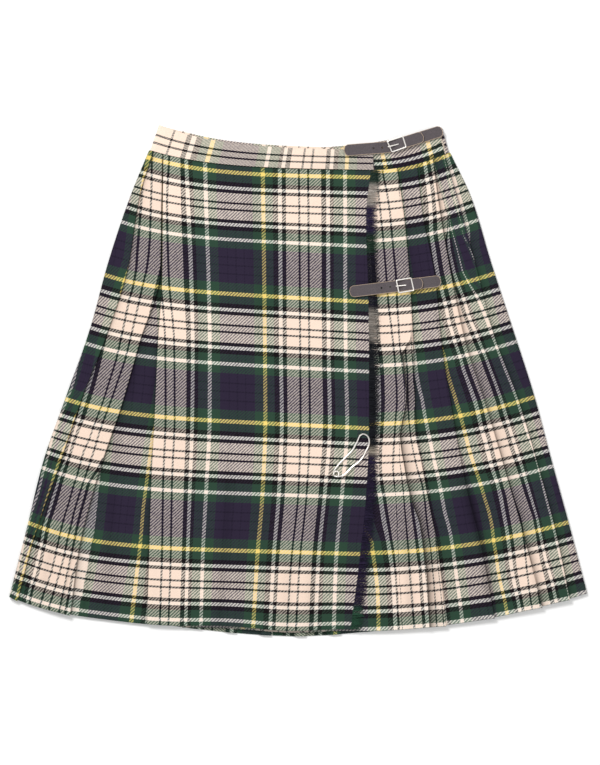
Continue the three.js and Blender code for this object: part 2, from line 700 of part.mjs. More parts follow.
function pinGeometry() {
  const onApron = ({ x, y }, lift) => {
    const z = spanned(clothSurface, x, y) + GAP + PIN_WIRE / 2 + lift;
    return new THREE.Vector3(x, y, z);
  };
  const points = PIN_NEEDLE.map((p) => onApron(p, 0));
  for (let k = 0; k <= COIL.points; k++) {
    const turned = k / COIL.perTurn;
    const angle = COIL.startAngle + turned * 2 * Math.PI;
    const x = PIN_COIL.x + PIN_COIL.radius * Math.cos(angle);
    const y = PIN_COIL.y + PIN_COIL.radius * Math.sin(angle);
    points.push(onApron({ x, y }, PIN_COIL.rise * turned));
  }
  PIN_BAR.forEach((p, k) => {
    const lift = Math.max(BAR_SETTLE.least, 1 - k / BAR_SETTLE.points);
    points.push(onApron(p, PIN_COIL.rise * lift));
  });
  return tube(points, PIN_WIRE / 2, PIN_SIDES, PIN_STEPS, false);
}

// Colours of the finished pieces
const CLOTH = { color: 0x4c5548, roughness: 0.95, metalness: 0 };
const LEATHER_LOOK = { color: 0x4a4345, roughness: 0.6, metalness: 0 };
const METAL = { color: 0xc9c5bf, roughness: 0.25, metalness: 1 };
const THREAD = { color: 0x231c33, roughness: 1, metalness: 0 };

function piece(name, geometry, look) {
  geometry.computeVertexNormals();
  const mesh = new THREE.Mesh(geometry, new THREE.MeshStandardMaterial(look));
  mesh.name = name;
  return mesh;
}

function buckledStrap(name, strap, surface) {
  const group = new THREE.Group();
  group.add(
    piece(name + "_strap", strapGeometry(strap, surface), LEATHER_LOOK),
    piece(name + "_tab", tabGeometry(strap, surface), LEATHER_LOOK),
    piece(name + "_buckle", buckleGeometry(strap, surface), METAL),
    piece(name + "_prong", prongGeometry(strap, surface), METAL),
  );
  return group;
}

const skirt = new THREE.Group();
skirt.add(
  piece("back_pleats", sheet(backSection), CLOTH),
  piece("right_pleats", sheet(rightSection), CLOTH),
  piece("left_pleats", sheet(leftSection), CLOTH),
  piece("over_apron", sheet(apronSection), CLOTH),
  piece("waistband", wall([bandSection(0), bandSection(1)], BAND_WALL), CLOTH),
  piece("fringe", fringe(), THREAD),
  buckledStrap("upper", UPPER, bandSurface),
  buckledStrap("lower", LOWER, clothSurface),
  piece("kilt_pin", pinGeometry(), METAL),
);

// The origin lies in the middle of the whole, on the surface it rests on
const middle = new THREE.Box3().setFromObject(skirt).getCenter(new THREE.Vector3());
skirt.position.set(-middle.x, -middle.y, 0);

export default skirt;
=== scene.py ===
# A pleated tartan wrap skirt laid flat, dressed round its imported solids. Lengths are in mm on the page:
# X to the right, Y towards the waist, Z up. They become metres where a mesh is made.
import math

import bmesh
import bpy
import numpy as np
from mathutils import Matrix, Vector


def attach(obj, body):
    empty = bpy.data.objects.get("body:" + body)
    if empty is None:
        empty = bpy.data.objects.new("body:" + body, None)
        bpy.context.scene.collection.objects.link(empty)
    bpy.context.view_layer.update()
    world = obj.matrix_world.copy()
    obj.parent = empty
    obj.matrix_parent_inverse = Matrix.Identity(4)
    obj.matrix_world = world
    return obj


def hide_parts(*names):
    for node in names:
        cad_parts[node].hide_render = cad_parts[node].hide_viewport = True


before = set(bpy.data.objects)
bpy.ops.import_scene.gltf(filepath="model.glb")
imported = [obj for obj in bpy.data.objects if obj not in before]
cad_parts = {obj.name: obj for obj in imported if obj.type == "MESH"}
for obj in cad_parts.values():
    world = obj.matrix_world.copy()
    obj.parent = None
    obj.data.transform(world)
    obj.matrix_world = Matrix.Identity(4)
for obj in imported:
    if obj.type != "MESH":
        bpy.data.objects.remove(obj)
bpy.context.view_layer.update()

SHIFT = (0.949, 0.304)  # from the page's centre lines to the middle of the solids' box
SCALE = 0.001
PX = 1.2  # a pixel of the picture on the page
CENTRE_COLUMN, CENTRE_ROW = 299, 380.6

# ---- Flat outline and fold lines: distance from the centre line at each t, from waist seam to hem
T_ROWS = [0, 0.1, 0.25, 0.4, 0.55, 0.7, 0.85, 1]
LINES = {
    "left": [-179.8, -201.8, -228.7, -250.7, -279, -307.1, -326.8, -347.5],
    "d": [-174.3, -191.3, -204.8, -229.8, -260.7, -288.3, -315.8, -337.4],
    "b": [-163.6, -164.8, -166.4, -190.2, -213.6, -241.5, -262.6, -274.2],
    "apron_fold": [-162.6, -163.2, -163.8, -169, -172.8, -177, -179.6, -182],
    "apron_edge": [86, 80.5, 83, 84, 84, 80.6, 72.4, 62],
    "e": [115.5, 123.8, 131, 123.5, 122.3, 131.7, 148, 154.8],
    "f": [117, 125.3, 132.5, 136.9, 139.9, 152.1, 167.1, 176.4],
    "g": [141.6, 147.8, 163.1, 171.4, 184.5, 199.3, 218.9, 234.5],
    "h": [160.4, 168.2, 182.1, 199.3, 225, 248.2, 270.5, 291.6],
    "i": [174.4, 191, 212.5, 233.5, 262.8, 286.3, 307.6, 324.6],
    "right": [181.2, 206.2, 230.5, 256.4, 281.8, 303.1, 324.8, 345.6],
}
DEPTHS = {
    "d": (2.2, 12), "b": (4.5, 26), "apron_fold": (8, 29), "e": (5, 12),
    "f": (9, 16), "g": (8, 6), "h": (7, 15), "i": (4.5, 12),
}
LEAST_STRIP = 3.2
UNDER_APRON_EDGE = -140
RAMP_BEFORE_EDGE = 12
APRON_STEP = (-148, -126)

# ---- Curves of the weft lines
WAIST_Y = (276.1, 273.5)
HEM_Y = (-258.5, -254.9)
LEFT_T = [0, 0.27, 0.55, 0.83, 1]
LEFT_DROP = [24, 32.5, 35.3, 37.8, 39.6]
LEFT_BOW = [0.8, 0.45, 0.5, 0.72, 0.72]
LEFT_BEND = [4, 6, 6, 6, 6]
RIGHT_T = [0, 0.15, 0.27, 0.55, 0.83, 1]
RIGHT_DROP = [21.4, 25.2, 25.8, 32.4, 36.8, 45.6]
BACK_DROP = (24, 50)
BACK_BEND = (2, 1.6)
HEM_WAVE = (4.6, 154, -172, 0.82)

# ---- Cloth
CLOTH = 0.95
LAYER = 1.3
BACK_Z = 0.5
FRONT_Z = 4.4
BACK_PLEATS = 16
BACK_DEPTH = (11, 9)
BACK_PHASE = 0.31
BACK_MIDDLE = (330, 470)
# Painted shade on the layers inside each back pleat
BACK_FOLD_SHADE = 0.4
SIDE_TURN_IN = 12

# ---- Tartan: widths in the order of the warp from left to right, and of the weft from waist to hem
WARP_PX = 135.5
WEFT_PX = 128.0
WARP_SETT = [
    ("Y", 3.5), ("G", 7), ("K", 4.5), ("W", 4), ("K", 4), ("C", 12.5), ("k", 2.2), ("C", 6.8), ("k", 2.6),
    ("C", 11.6), ("K", 4.3), ("W", 4), ("K", 3.5), ("G", 9.7), ("W", 3.8), ("G", 8.3), ("N", 34.5), ("G", 8.7),
]
WEFT_SETT = [
    ("Y", 3.5), ("G", 8), ("K", 4.5), ("W", 3.5), ("K", 3.5), ("C", 9.5), ("k", 2), ("C", 5), ("k", 2),
    ("C", 9.5), ("K", 3.5), ("W", 3.5), ("K", 4.5), ("G", 8), ("W", 3.5), ("G", 7.5), ("N", 36.5), ("G", 9.5),
]
YARN = {
    "C": (0.79, 0.62, 0.51), "W": (0.80, 0.69, 0.60), "Y": (0.78, 0.58, 0.16), "G": (0.0234, 0.053, 0.034),
    "K": (0.007, 0.005, 0.006), "k": (0.009, 0.007, 0.009), "N": (0.0225, 0.016, 0.034), "n": (0.014, 0.010, 0.022),
}


def page(column):
    return (column - CENTRE_COLUMN) * PX


def page_y(line):
    return (CENTRE_ROW - line) * PX


def column_at(x):
    return x / PX + CENTRE_COLUMN


def line_at(y):
    return CENTRE_ROW - y / PX


def smooth(ts, values, t):
    """Monotone cubic through a table's rows."""
    ts, values = np.asarray(ts, float), np.asarray(values, float)
    step = np.diff(ts)
    slope = np.diff(values) / step
    m = np.zeros(len(ts))
    for k in range(1, len(ts) - 1):
        if slope[k - 1] * slope[k] > 0:
            a, b = 2 * step[k] + step[k - 1], step[k] + 2 * step[k - 1]
            m[k] = (a + b) / (a / slope[k - 1] + b / slope[k])
    m[0], m[-1] = slope[0], slope[-1]
    k = int(np.clip(np.searchsorted(ts, t) - 1, 0, len(step) - 1))
    u = (t - ts[k]) / step[k]
    if u < 0 or u > 1:
        return float(values[0] + m[0] * (t - ts[0]) if u < 0 else values[-1] + m[-1] * (t - ts[-1]))
    h00, h10 = 2 * u**3 - 3 * u**2 + 1, u**3 - 2 * u**2 + u
    h01, h11 = -2 * u**3 + 3 * u**2, u**3 - u**2
    return float(h00 * values[k] + h10 * step[k] * m[k] + h01 * values[k + 1] + h11 * step[k] * m[k + 1])


def lerp(a, b, s):
    return a + (b - a) * s


def clamp01(v):
    return max(0.0, min(1.0, v))


def ease(a, b, v):
    s = clamp01((v - a) / (b - a))
    return s * s * (3 - 2 * s)


_rows = {}
_curves = {}


def curve(ts, values, t):
    """A table's value at t, kept for the next point of the same row."""
    key = (id(values), t)
    if key not in _curves:
        _curves[key] = smooth(ts, values, t)
    return _curves[key]


def row(t):
    if t not in _rows:
        _rows[t] = {name: smooth(T_ROWS, values, t) for name, values in LINES.items()}
    return _rows[t]


def depth(name, t):
    return lerp(*DEPTHS[name], t)


def hem_wave(x, t):
    height, length, crest, start = HEM_WAVE
    share = clamp01((t - start) / (1 - start))
    return -height * share * share * 0.5 * (1 + math.cos(2 * math.pi * (x - crest) / length))


def left_y(x, t):
    r = row(t)
    share = clamp01((x - r["left"]) / (r["apron_edge"] - r["left"]))
    bow, bend = curve(LEFT_T, LEFT_BOW, t), curve(LEFT_T, LEFT_BEND, t)
    sag = bow * (1 - (1 - share) ** bend) + (1 - bow) * share
    return lerp(WAIST_Y[0], HEM_Y[0], t) - curve(LEFT_T, LEFT_DROP, t) * sag + hem_wave(x, t) * share


def right_y(x, t):
    r = row(t)
    share = clamp01((r["right"] - x) / (r["right"] - r["apron_edge"]))
    seen = lerp(WAIST_Y[1], HEM_Y[1], t) - curve(RIGHT_T, RIGHT_DROP, t) * (1 - (1 - share) ** 2)
    return seen + left_y(x, t) - left_y(r["apron_edge"], t) if x < r["apron_edge"] else seen


def back_y(x, t):
    r = row(t)
    share = clamp01((x - r["left"]) / (r["right"] - r["left"]))
    edge = lerp(lerp(WAIST_Y[0], HEM_Y[0], t), lerp(WAIST_Y[1], HEM_Y[1], t), share)
    return edge - lerp(*BACK_DROP, t) * (1 - abs(2 * share - 1) ** lerp(*BACK_BEND, t))


# ---- Warp lines as seen. A line's number is its distance along the sett from the yellow, in pixels
WARPS = {
    -98.9: [157, 157, 160.2, 165, 165.4, 162.9, 161.8, 159.6],
    -89.7: [169.6, 167, 168.6, 174.2, 174.7, 171.9, 170.8, 168.4],
    -70.2: [186, 188.4, 191.4, 192.8, 192.2, 190, 187.6, 185.7],
    -53.2: [205.3, 206.4, 208.7, 209.9, 209.8, 206.4, 202.8, 201],
    1.7: [262.6, 263.2, 264.1, 264.8, 265.2, 262.6, 257, 252.9],
    17.2: [280, 280.2, 280.7, 281, 282, 279.2, 273.8, 270.4],
    36.6: [298.4, 298.8, 299.3, 299.7, 300, 298, 291, 286.4],
    65.3: [327.8, 328, 328.2, 328.6, 329.8, 324.8, 318.2, 315.2],
    82.2: [344.8, 345, 345.1, 345.6, 347, 342, 335.9, 333.7],
}


def apron_phase(x, t):
    keys = sorted(WARPS)
    xs = [page(curve(T_ROWS, WARPS[k], t)) for k in keys]
    return along(x, xs, keys, PX) / WARP_PX


def along(x, xs, values, unit):
    """Between the knots by straight lines, past them at one value to the unit."""
    if x <= xs[0]:
        return values[0] + (x - xs[0]) / unit
    if x >= xs[-1]:
        return values[-1] + (x - xs[-1]) / unit
    return float(np.interp(x, xs, values))


def knots(text):
    return [float(word) for word in text.split()]


def routes(text):
    entries = (entry.split(":") for entry in text.split(";"))
    return sorted((float(key), knots(line)) for key, line in entries)


# The same lines on the pleats, where each turns with its own fold: the line's number, then the picture's row and
# column in turn. The routes of one panel are parted by semicolons
ROUTES = {
    "strip": routes("""
        -53.4: 150 95 240 80 335 85.6 343 84.6 356 81.4 366 77.7 379 75.2 390 71.9 398 68.2 407 65.2 414 62.2
            422 59 429 56.4 437 53.7 442 52.1 452 50 465 46.3 473 43.7 481 42 489 40.2 496 38 511 32.8 523 29.6
            536 26.5 548 24 560 21.1 573 18 583 15 590 11.9 600 9;
        -43.2: 150 106 240 91 335 90 356 85.2 379 79 398 72.5 414 66 437 57.5 465 50 496 41.5 536 29.5 573 20.5
            600 11.5;
        -8.7: 150 140 165 138 197 131.5 219 128.4 240 125.8 256 124 271 119 291 112 340 97.5 379 90.5 400 76
            416 69 450 56 475 49.5 502 42 543 30 573 21 600 12.5;
        0.9: 150 150 155 148.8 165 146 180 143 197 140.1 219 137 237 134.6 253 132.6 271 127.6 281 123.8 291 121.2
            300 121 330 111.5 350 104.5 380 96 400 84.5 410 78.5 416 75 429 71.8 441 67.6 450 62.9 464 57.5
            475 53.8 491 48.9 502 45.2 517 40.9 527 37.2 543 31.6 554 27.3 568 23.6 581 19.9 595 16.8 600 15.5"""),
    "striped": routes("""
        3.5: 150 100 380 74 405 70 441 64 464 58.2 491 49.6 517 41.6 543 32.4 568 24.6 595 17.8 600 16;
        17: 150 115 300 108 350 97.5 380 90.3 403 83 417 79 430 75.6 440 72 455.6 67.4 472 60.5 486 56.7 499 52.2
            513 48.2 525 44.4 541 42 553 39.6 568 36 581 32.7 596 28.8 600 27.8;
        21: 150 126 300 113.5 350 101.7 370 97.5 390 92 405 87.2 413 84.9 422 81.5 430 78.2 440 74.5 453.5 70.3
            467 66.6 479 62.3 491 59.1 504 55.4 515 51.7 523 49 535 46.5 547 44.2 560 41.4 574 37.8 584 33.6
            592 31.8 601 30;
        36.6: 150 142.5 190 142 212 140.3 230 138.8 250 137.1 268 136.1 278 134.6 288 132.6 300 128.9 313 126.2
            333 122 360 116.1 375 111.3 389 107 404 102.2 419 96.4 440 88.9 450 83.9 464 79.9 477 76.5 486 73.3
            503 68.7 517 64.2 528 61.3 542 58.2 558 54.6 571 51.6 581 48 592 43.8 606 39.6;
        45.8: 150 152 187 151.6 212 150.8 238 150.1 250 149.2 262 147.9 272 146.3 282 143.6 292 141.4 300 139.6
            330 132.6 360 125.2 400 111.3 430 100.1 450 94.3 466 89 481 83.9 496 78.9 512 74.1 528 70.6 539 67.7
            554 64.8 567 61.4 580 57.5 592 54 606 49.5"""),
    "underlay": routes("""
        -51.6: 150 20 640 20;
        -51.5: 150 101 440 104 530 95 608 80 640 75;
        -43.2: 150 110 440 113 500 107 530 103.8 608 88.4 640 84;
        -8.7: 150 155 275 155 330 158 380 155.5 420 148.5 447 143.5 490 137.2 506 135.3 530 133 560 129.5
            608 119.8 640 114;
        1.75: 150 163.5 275 163.5 290 162.8 330 166 380 163.5 420 156.5 437 152.3 462 148.9 478 147 506 143.3
            543 140.3 576 136.5 594 134.7 622 131.6 640 129"""),
    "under_apron": routes("""
        3.5: 150 340 486 356 526 364 541 373.2 551 374 570 377 588 379 613 380 640 380;
        17: 150 362 320 372 372 378 400 378.8 430 378.6 463 377.4 486 378.6 497 380.8 508 382.2 520 384 531 386.1
            551 389.4 570 392.3 588 393.6 609 394.4 640 395.8;
        21: 150 366 320 376.9 333 377.9 346 379 354 380.5 372 382.2 400 383 415 382.6 445 380.4 463 380 478 380.6
            486 381.9 497 384 510 386 520 388 538 391.1 551 393.6 560 394.8 571 396.1 596 397.8 609 398.6 640 400;
        34.2: 150 371.5 186 374.7 238 380.2 273 383.2 306 385.7 325 388.2 354 391.5 384 393.7 403 394.1 422 392.9
            454 390.5 470 390.4 485 392.4 497 395.3 560 398 640 402;
        39.2: 150 376.5 186 379.6 238 385.1 273 388.1 306 390.5 325 393 354 396.3 384 398.4 403 398.8 422 397
            454 395.4 470 394.8 485 395.8 497 396 560 398.7 640 402.7;
        45.8: 150 379 178 383.1 193 386.6 212 389.6 244 392.4 273 395.4 306 396.9 324 398 345 399.1 354 400.5
            373 403.1 391 405.2 403 404.6 412 403 421 401 434 398.9 446 399.8 460 399.8 478 402 490 403.3
            510 404.9 530 406.8 553 408.7 573 409.9 600 412.3 640 415.5;
        60.8: 150 394.5 188 401 238 407 276 412 345 413 403 405.9 412 404.4 421 402.3 434 400 446 401 462 403.7
            474 405.7 482 407 490 409 500 410.6 510 411.6 518 412.9 538 415.7 559 418.2 567 419.8 588 420.7
            612 422.4 640 425;
        65: 150 398 345 417 403 409 434 403 462 407 490 412 518 416 538 419 559 421.4 588 424 612 425.6 640 428"""),
    "strip_e": routes("""
        23: 150 380 340 390 430 396 460 399 490 406 520 414 547 422 573 424.5 640 427;
        36.6: 150 389 340 404 372 407.2 400 407.3 420 408.5 438 410.5 450 412.7 463 415.5 476 419 484 421.7
            500 424.3 520 426.1 535 428 547 430 573 432.4 590 434 640 437;
        45.8: 150 396 340 411 372 413 400 415 420 414.5 438 416 450 418.6 463 421.8 476 425.5 484 428.5 500 431.3
            520 434.2 535 435.2 547 436.2 573 438.6 590 440.5 640 445;
        58.7: 150 396.7 190 400.4 215 403.2 250 407.4 275 410 340 415 640 450"""),
    "panel_f": routes("""
        82.1: 150 388 250 399 300 406 345 412.2 354 414 366 415 378 416.6 390 419.3 400 422 415 424.4 426 426.5
            444 430.5 462 434.1 475 437.3 490 440.5 502 442.5 514 444.9 525 448.2 534 450.3 550 452.8 570 455.3
            588 457.8 607 460.3 640 464;
        92.5: 150 398 250 409 300 416.5 354 424.5 400 431 462 444 502 452.5 550 462 607 470 640 473"""),
    "panel_g": routes("""
        -8.7: 150 402 250 408 300 419 361 434 400 446 447 459 505 478 541 484.5 601 494.5 640 500;
        1.75: 150 409 250 417 300 428 340 438 354 443.2 361 444.9 371 446.5 379 448.6 388 451.3 396 454 405 456.6
            413 459.3 430 463.6 447 467.8 460 471.7 471 475.6 485 480.2 498 484 512 488.6 526 491.7 541 493.2
            554 495.5 567 497.1 580 499.4 592 502.4 601 504.7 612 506.7 640 511;
        17: 150 422 160 424 178 426.6 190 428.3 200 429.6 212 430.4 235 430.9 250 433.3 262 435 272 437 285 440.2
            294 442.2 301 444.4 311 446.5 322 448.6 332 451.8 343 455 358 460.4 371 463.6 379 466.8 391 471
            402 474.8 411 477.4 427 480.6 441 484.9 456 488.6 466 490.9 475 494 483 497 497 500.1 512 502.9
            526 505.5 536 507.3 549 508.9 567 510.8 580 513 592 515.5 605 518.3 640 525;
        21: 150 426 190 432.6 212 434.4 235 435.2 250 437.8 272 441 301 447.8 322 452 343 458.3 371 467 391 475
            402 479.2 427 485 441 489.2 466 495.3 497 504.4 526 509.6 549 512.9 567 514.8 592 519.5 640 529;
        36.6: 150 440 250 453 402 495 497 517 545 523.6 567 525.6 592 528.5 605 530.5 640 538"""),
    "panel_h": routes("""
        58.5: 150 428 165 432.8 190 439.4 202 443.4 216 447.2 226 447.8 234 446.6 240 444.8 250 444.8 272 449.4
            283 452.3 297 457.4 311 461 322 465 332 469 343 473.2 357 479.3 372 484.5 385 489.5 400 494.8
            415 498.7 435 505.9 447 508.8 466 515.5 480 520 495 524.5 518 532.5 530 534.6 560 539.5 578 544
            600 549 640 559;
        65: 150 428.6 190 440 216 447.8 226 448.4 236 447.7 250 448.3 272 453.1 283 456.3 297 462.5 322 470
            332 475 343 479 357 485 372 490.5 385 495.5 400 500.6 415 505 435 510.8 447 515 466 521 480 525
            495 529.6 518 536.6 530 538.6 560 545 578 551 600 555.2 640 565;
        70.5: 150 429 190 440.4 216 448.3 226 449 236 451 250 453.7 272 458.5 283 463 297 467.5 311 471.5 343 484
            400 505.5 447 520 495 534 530 543 560 549.5 600 560 640 570;
        82.1: 150 430 190 441 216 449 226 450 236 453 250 457 272 462.3 283 468.3 297 476.5 311 482.8 322 487
            332 490.4 343 495 357 500.3 372 506 385 511.5 400 517 415 521.6 435 528 447 533 457 536 470 539.5
            495 545.3 518 551.5 530 554 560 560.9 578 565.2 600 570 640 580;
        94: 150 432 190 443 216 451 226 452.5 236 456 250 460.5 272 467 283 473 297 488 343 507 400 529 495 557
            600 582 640 592"""),
}
EDGE_E = knots("""150 393.5 200 401 250 405.5 300 410.6 335 412 345 407 354 401.2 373 403.8 391 405.8 403 405.3
    412 403.8 421 401.7 434 399.4 446 400.5 452 401.3 462 403.3 474 405.3 482 406.5 490 408.5 498 410.5 510 414.5
    520 418.5 535 421.5 547 423 560 424.6 573 426.3 600 427.6 625 429 640 429.5""")
THIRD_LINE = knots("""150 260 400 128 440 112.5 470 97.5 480 90.4 485 88.2 491 86.9 503 83.7 513 80.7 527 77.5
    542 74.6 556 71.7 571 68.4 587 65.1 604 61.5 640 54""")
FINE_LINE = knots("""150 442 190 451.6 202 455.1 216 459 235 463 250 470 272 478 283 479.5 297 505 640 620""")
LAST_LINE = knots("""150 300 400 160 480 112 540 86 560 78 575 72.5 596 68.4 606 66.5 640 60""")


def route(points, y):
    return float(np.interp(y, points[0::2], points[1::2]))


SIDE_PHASES = (80.5, 84.5)  # at the right side's fold, above and below the hip
FINE_HALF = 1.9


def panel_phase(panel, x, y, t):
    """The sett's place at a point of the page. Two small pleats in the striped panel show a line again."""
    px, py = column_at(x), line_at(y)
    if panel == "panel_i":
        return (lerp(*SIDE_PHASES, ease(225, 250, py)) + (x - row(t)["i"]) / PX) / WARP_PX
    xs, keys = [], []
    for key, points in ROUTES[panel]:
        at = route(points, py)
        if not xs or at > xs[-1] + 0.1:
            xs.append(at)
            keys.append(key)
    if panel == "panel_h":
        fine = route(FINE_LINE, py)
        xs += [max(xs[-1] + 0.1, fine - FINE_HALF), max(xs[-1] + 0.2, fine), max(xs[-1] + 0.3, fine + FINE_HALF)]
        keys += [93, 82.1, 93]
    if panel == "striped":
        third, last = route(THIRD_LINE, py), route(LAST_LINE, py)
        if xs[-1] < px and xs[-1] + 1 < third < xs[-1] + 12:
            middle = (xs[-1] + third) / 2
            xs += [middle, third, last, last + 3]
            keys += [45.8 + middle - xs[-5], 45.8, 60.8, 65]
    return along(px, xs, keys, 1) / WARP_PX


WEFT_LEFT = ([0.011, 0.275, 0.553, 0.830], [0, 1, 2, 3])
WEFT_RIGHT = ([-0.001, 0.270, 0.550, 0.834], [0, 1, 2, 3])


# ---- Folds: lists of (x, z)
def turn(x, z0, z1, side, reach, steps):
    return [
        (x - side * reach * (1 - math.sin(math.pi * k / steps)),
         lerp(z0, z1, (1 - math.cos(math.pi * k / steps)) / 2))
        for k in range(steps + 1)
    ]


def panel_heights(folds, first_start):
    """Each panel's start and end, its height over the floor of the front, and its slope, from the right."""
    panels = [None] * len(folds)
    slope_under = 0.0
    for k in range(len(folds) - 1, -1, -1):
        x, reach = folds[k]
        start = folds[k - 1][0] - folds[k - 1][1] if k > 0 else first_start
        over_next = slope_under * reach + 2 * LAYER
        over_turn = 2 * LAYER / (1 - reach / (x - start))
        top = max(over_next, over_turn)
        slope_under = top / (x - start)
        panels[k] = (start, x, top, slope_under)
    return panels


FOLD_STEPS = 6
EDGE_IN = 0.5


def fold_points(fold, top):
    x, reach = fold
    return [
        *turn(x - EDGE_IN, FRONT_Z + top, FRONT_Z + top - LAYER, 1, LAYER / 2, FOLD_STEPS),
        *turn(x - reach, FRONT_Z + LAYER, FRONT_Z, -1, LAYER / 2, FOLD_STEPS),
    ]


def between(a, b, count):
    return [(lerp(a[0], b[0], (k + 1) / (count + 1)), lerp(a[1], b[1], (k + 1) / (count + 1))) for k in range(count)]


def left_folds(t):
    r = row(t)
    strip = min(depth("d", t), r["d"] - r["left"] - LEAST_STRIP)
    return [(r["d"], strip), (r["b"], depth("b", t))]


def right_folds(t):
    return [(row(t)[name], depth(name, t)) for name in ("f", "g", "h", "i")]


def inner_share(t):
    """The small fold e opens only in the lower half; above, it lies in the fold under it."""
    return ease(0.33, 0.42, t)


def right_panels(t):
    return panel_heights(right_folds(t), row(t)["apron_edge"] - RAMP_BEFORE_EDGE)


def under_apron_z(x, t):
    start = row(t)["apron_edge"] - RAMP_BEFORE_EDGE
    slope = right_panels(t)[0][3]
    return FRONT_Z + max(0.0, x - start) * slope


def over_apron_z(x, t):
    return under_apron_z(x, t) + LAYER * (1 + clamp01((APRON_STEP[1] - x) / (APRON_STEP[1] - APRON_STEP[0])))


CREASES = [
    # depth, half width in mm, then the picture's columns and rows in turn
    (2.0, 7.0, 463, 478, 468, 494, 476, 525, 486, 557, 490, 600),
    (0.9, 3.0, 94.6, 524, 89.3, 569, 83.5, 614),
    (0.7, 2.6, 435, 306, 438.6, 330, 442, 352),
    (0.8, 3.0, 457, 432, 457.5, 460),
    (0.8, 6.0, 230, 470, 226, 540, 219, 626),
    (0.7, 8.0, 120, 430, 112, 500, 106, 610),
    (0.6, 7.0, 322, 500, 314, 560, 309, 626),
    (0.7, 5.0, 404, 520, 408, 560, 411, 624),
    (0.6, 9.0, 250, 190, 258, 260, 262, 340),
    (0.5, 7.0, 196, 250, 200, 330, 196, 420),
    (0.6, 5.0, 520, 500, 532, 560, 540, 604),
    (0.5, 4.0, 556, 520, 566, 575, 572, 600),
    (0.5, 4.5, 480, 330, 498, 390, 512, 450),
    (0.5, 5.0, 60, 520, 48, 566, 40, 606),
    (0.4, 6.0, 290, 560, 287, 600, 286, 632),
]
BACK_CREASES = [
    (0.5, 8.0, 240, 210, 232, 300, 221, 420),
    (0.6, 7.0, 330, 240, 337, 360, 345, 520),
    (0.5, 9.0, 170, 340, 158, 460, 150, 590),
    (0.6, 8.0, 420, 330, 436, 470, 448, 600),
    (0.4, 7.0, 280, 380, 283, 500, 281, 620),
]
CREASE_FADE = 14  # pixels over which a trough begins and ends
# Painted shade in a crease trough, to the mm of its depth
CREASE_SHADE = 0.2  # darkening to the mm of depth
WORN_WAVES = ((0.30, 0.055, 0.021, 0.4), (0.22, -0.031, 0.047, 1.9), (0.16, 0.093, 0.035, 3.1))
FULL_DROP_Z = 9  # cloth lower than this sinks less


def creased(points, creases):
    """Soft troughs of worn cloth, sunk into every layer that they cross, with painted shade in each trough as deep as
    the trough.
    """
    out = np.array(points, float)
    px, py = column_at(out[..., 0]), line_at(out[..., 1])
    drop, dark = np.zeros(px.shape), np.zeros(px.shape)
    for depth_mm, half, *path in creases:
        xs, ys = np.array(path[0::2]), np.array(path[1::2])
        centre = np.interp(py, ys, xs)
        begun = np.clip((py - ys[0] + CREASE_FADE) / (2 * CREASE_FADE), 0, 1)
        left = np.clip((ys[-1] + CREASE_FADE - py) / (2 * CREASE_FADE), 0, 1)
        press = depth_mm * begun * left * np.exp(-(((px - centre) * PX / half) ** 2))
        drop, dark = drop + press, dark + CREASE_SHADE * press
    for k, (size, a, b, c) in enumerate(WORN_WAVES):
        drop += size * (0.5 + 0.5 * np.sin(px * a + py * b + c + 0.8 * np.sin(py * 0.024 + k)))
    out[..., 2] -= drop * np.clip(out[..., 2] / FULL_DROP_Z, 0, 1)
    return out, 1 - dark


# ---- Sections
SIDE_REACH = {"left": 3.2, "right": 2}
SIDE_STEPS = 10
HEM_DIP = (1.5, 9)  # how far a fold's edge hangs lower at the hem, and over what width
THIRD_LIP = 0.7
E_LIP = 2.0
E_GROOVE = 0.35
LEAST_F_STRIP = 2.2
COUNTS = {"strip": 24, "striped": 56, "underlay": 70, "under_apron": 14, "before_e": 44, "after_e": 18, "side": 16}
PANEL_COUNTS = {"panel_f": 36, "panel_g": 36, "panel_h": 30}
FOLD_BEFORE = {"panel_f": "f", "panel_g": "g", "panel_h": "h", "panel_i": "i"}
FOLD_AFTER = {"strip_e": "f", "panel_f": "g", "panel_g": "h", "panel_h": "i"}
# Darkness past each fold at the waist, and what is added lower down
FOLD_SHADOW = {"panel_f": (0.55, 0), "panel_g": (0.3, 0.25), "panel_h": (0.85, 0), "panel_i": (0.4, 0)}


def hem_dip(x, edge, t):
    fall, width = HEM_DIP
    return fall * ease(0.9, 1, t) * math.exp(min(0, x - edge) / width)


def shadow(past, strength, width):
    """Dark just past a fold, in mm, and none before it."""
    return strength * math.exp(-past / width) if past > 0 else 0.0


def shade(away, strength, width):
    """Dark as far as a line, in mm, and fading away from it."""
    return strength * math.exp(-max(0, away) / width)


def placed(points, tags, front_y, t):
    """Points of a section with their rows on the page, on the back or on the front."""
    return [((back_y if z < FRONT_Z - LAYER else front_y)(x, t), x, z, tag) for (x, z), tag in zip(points, tags)]


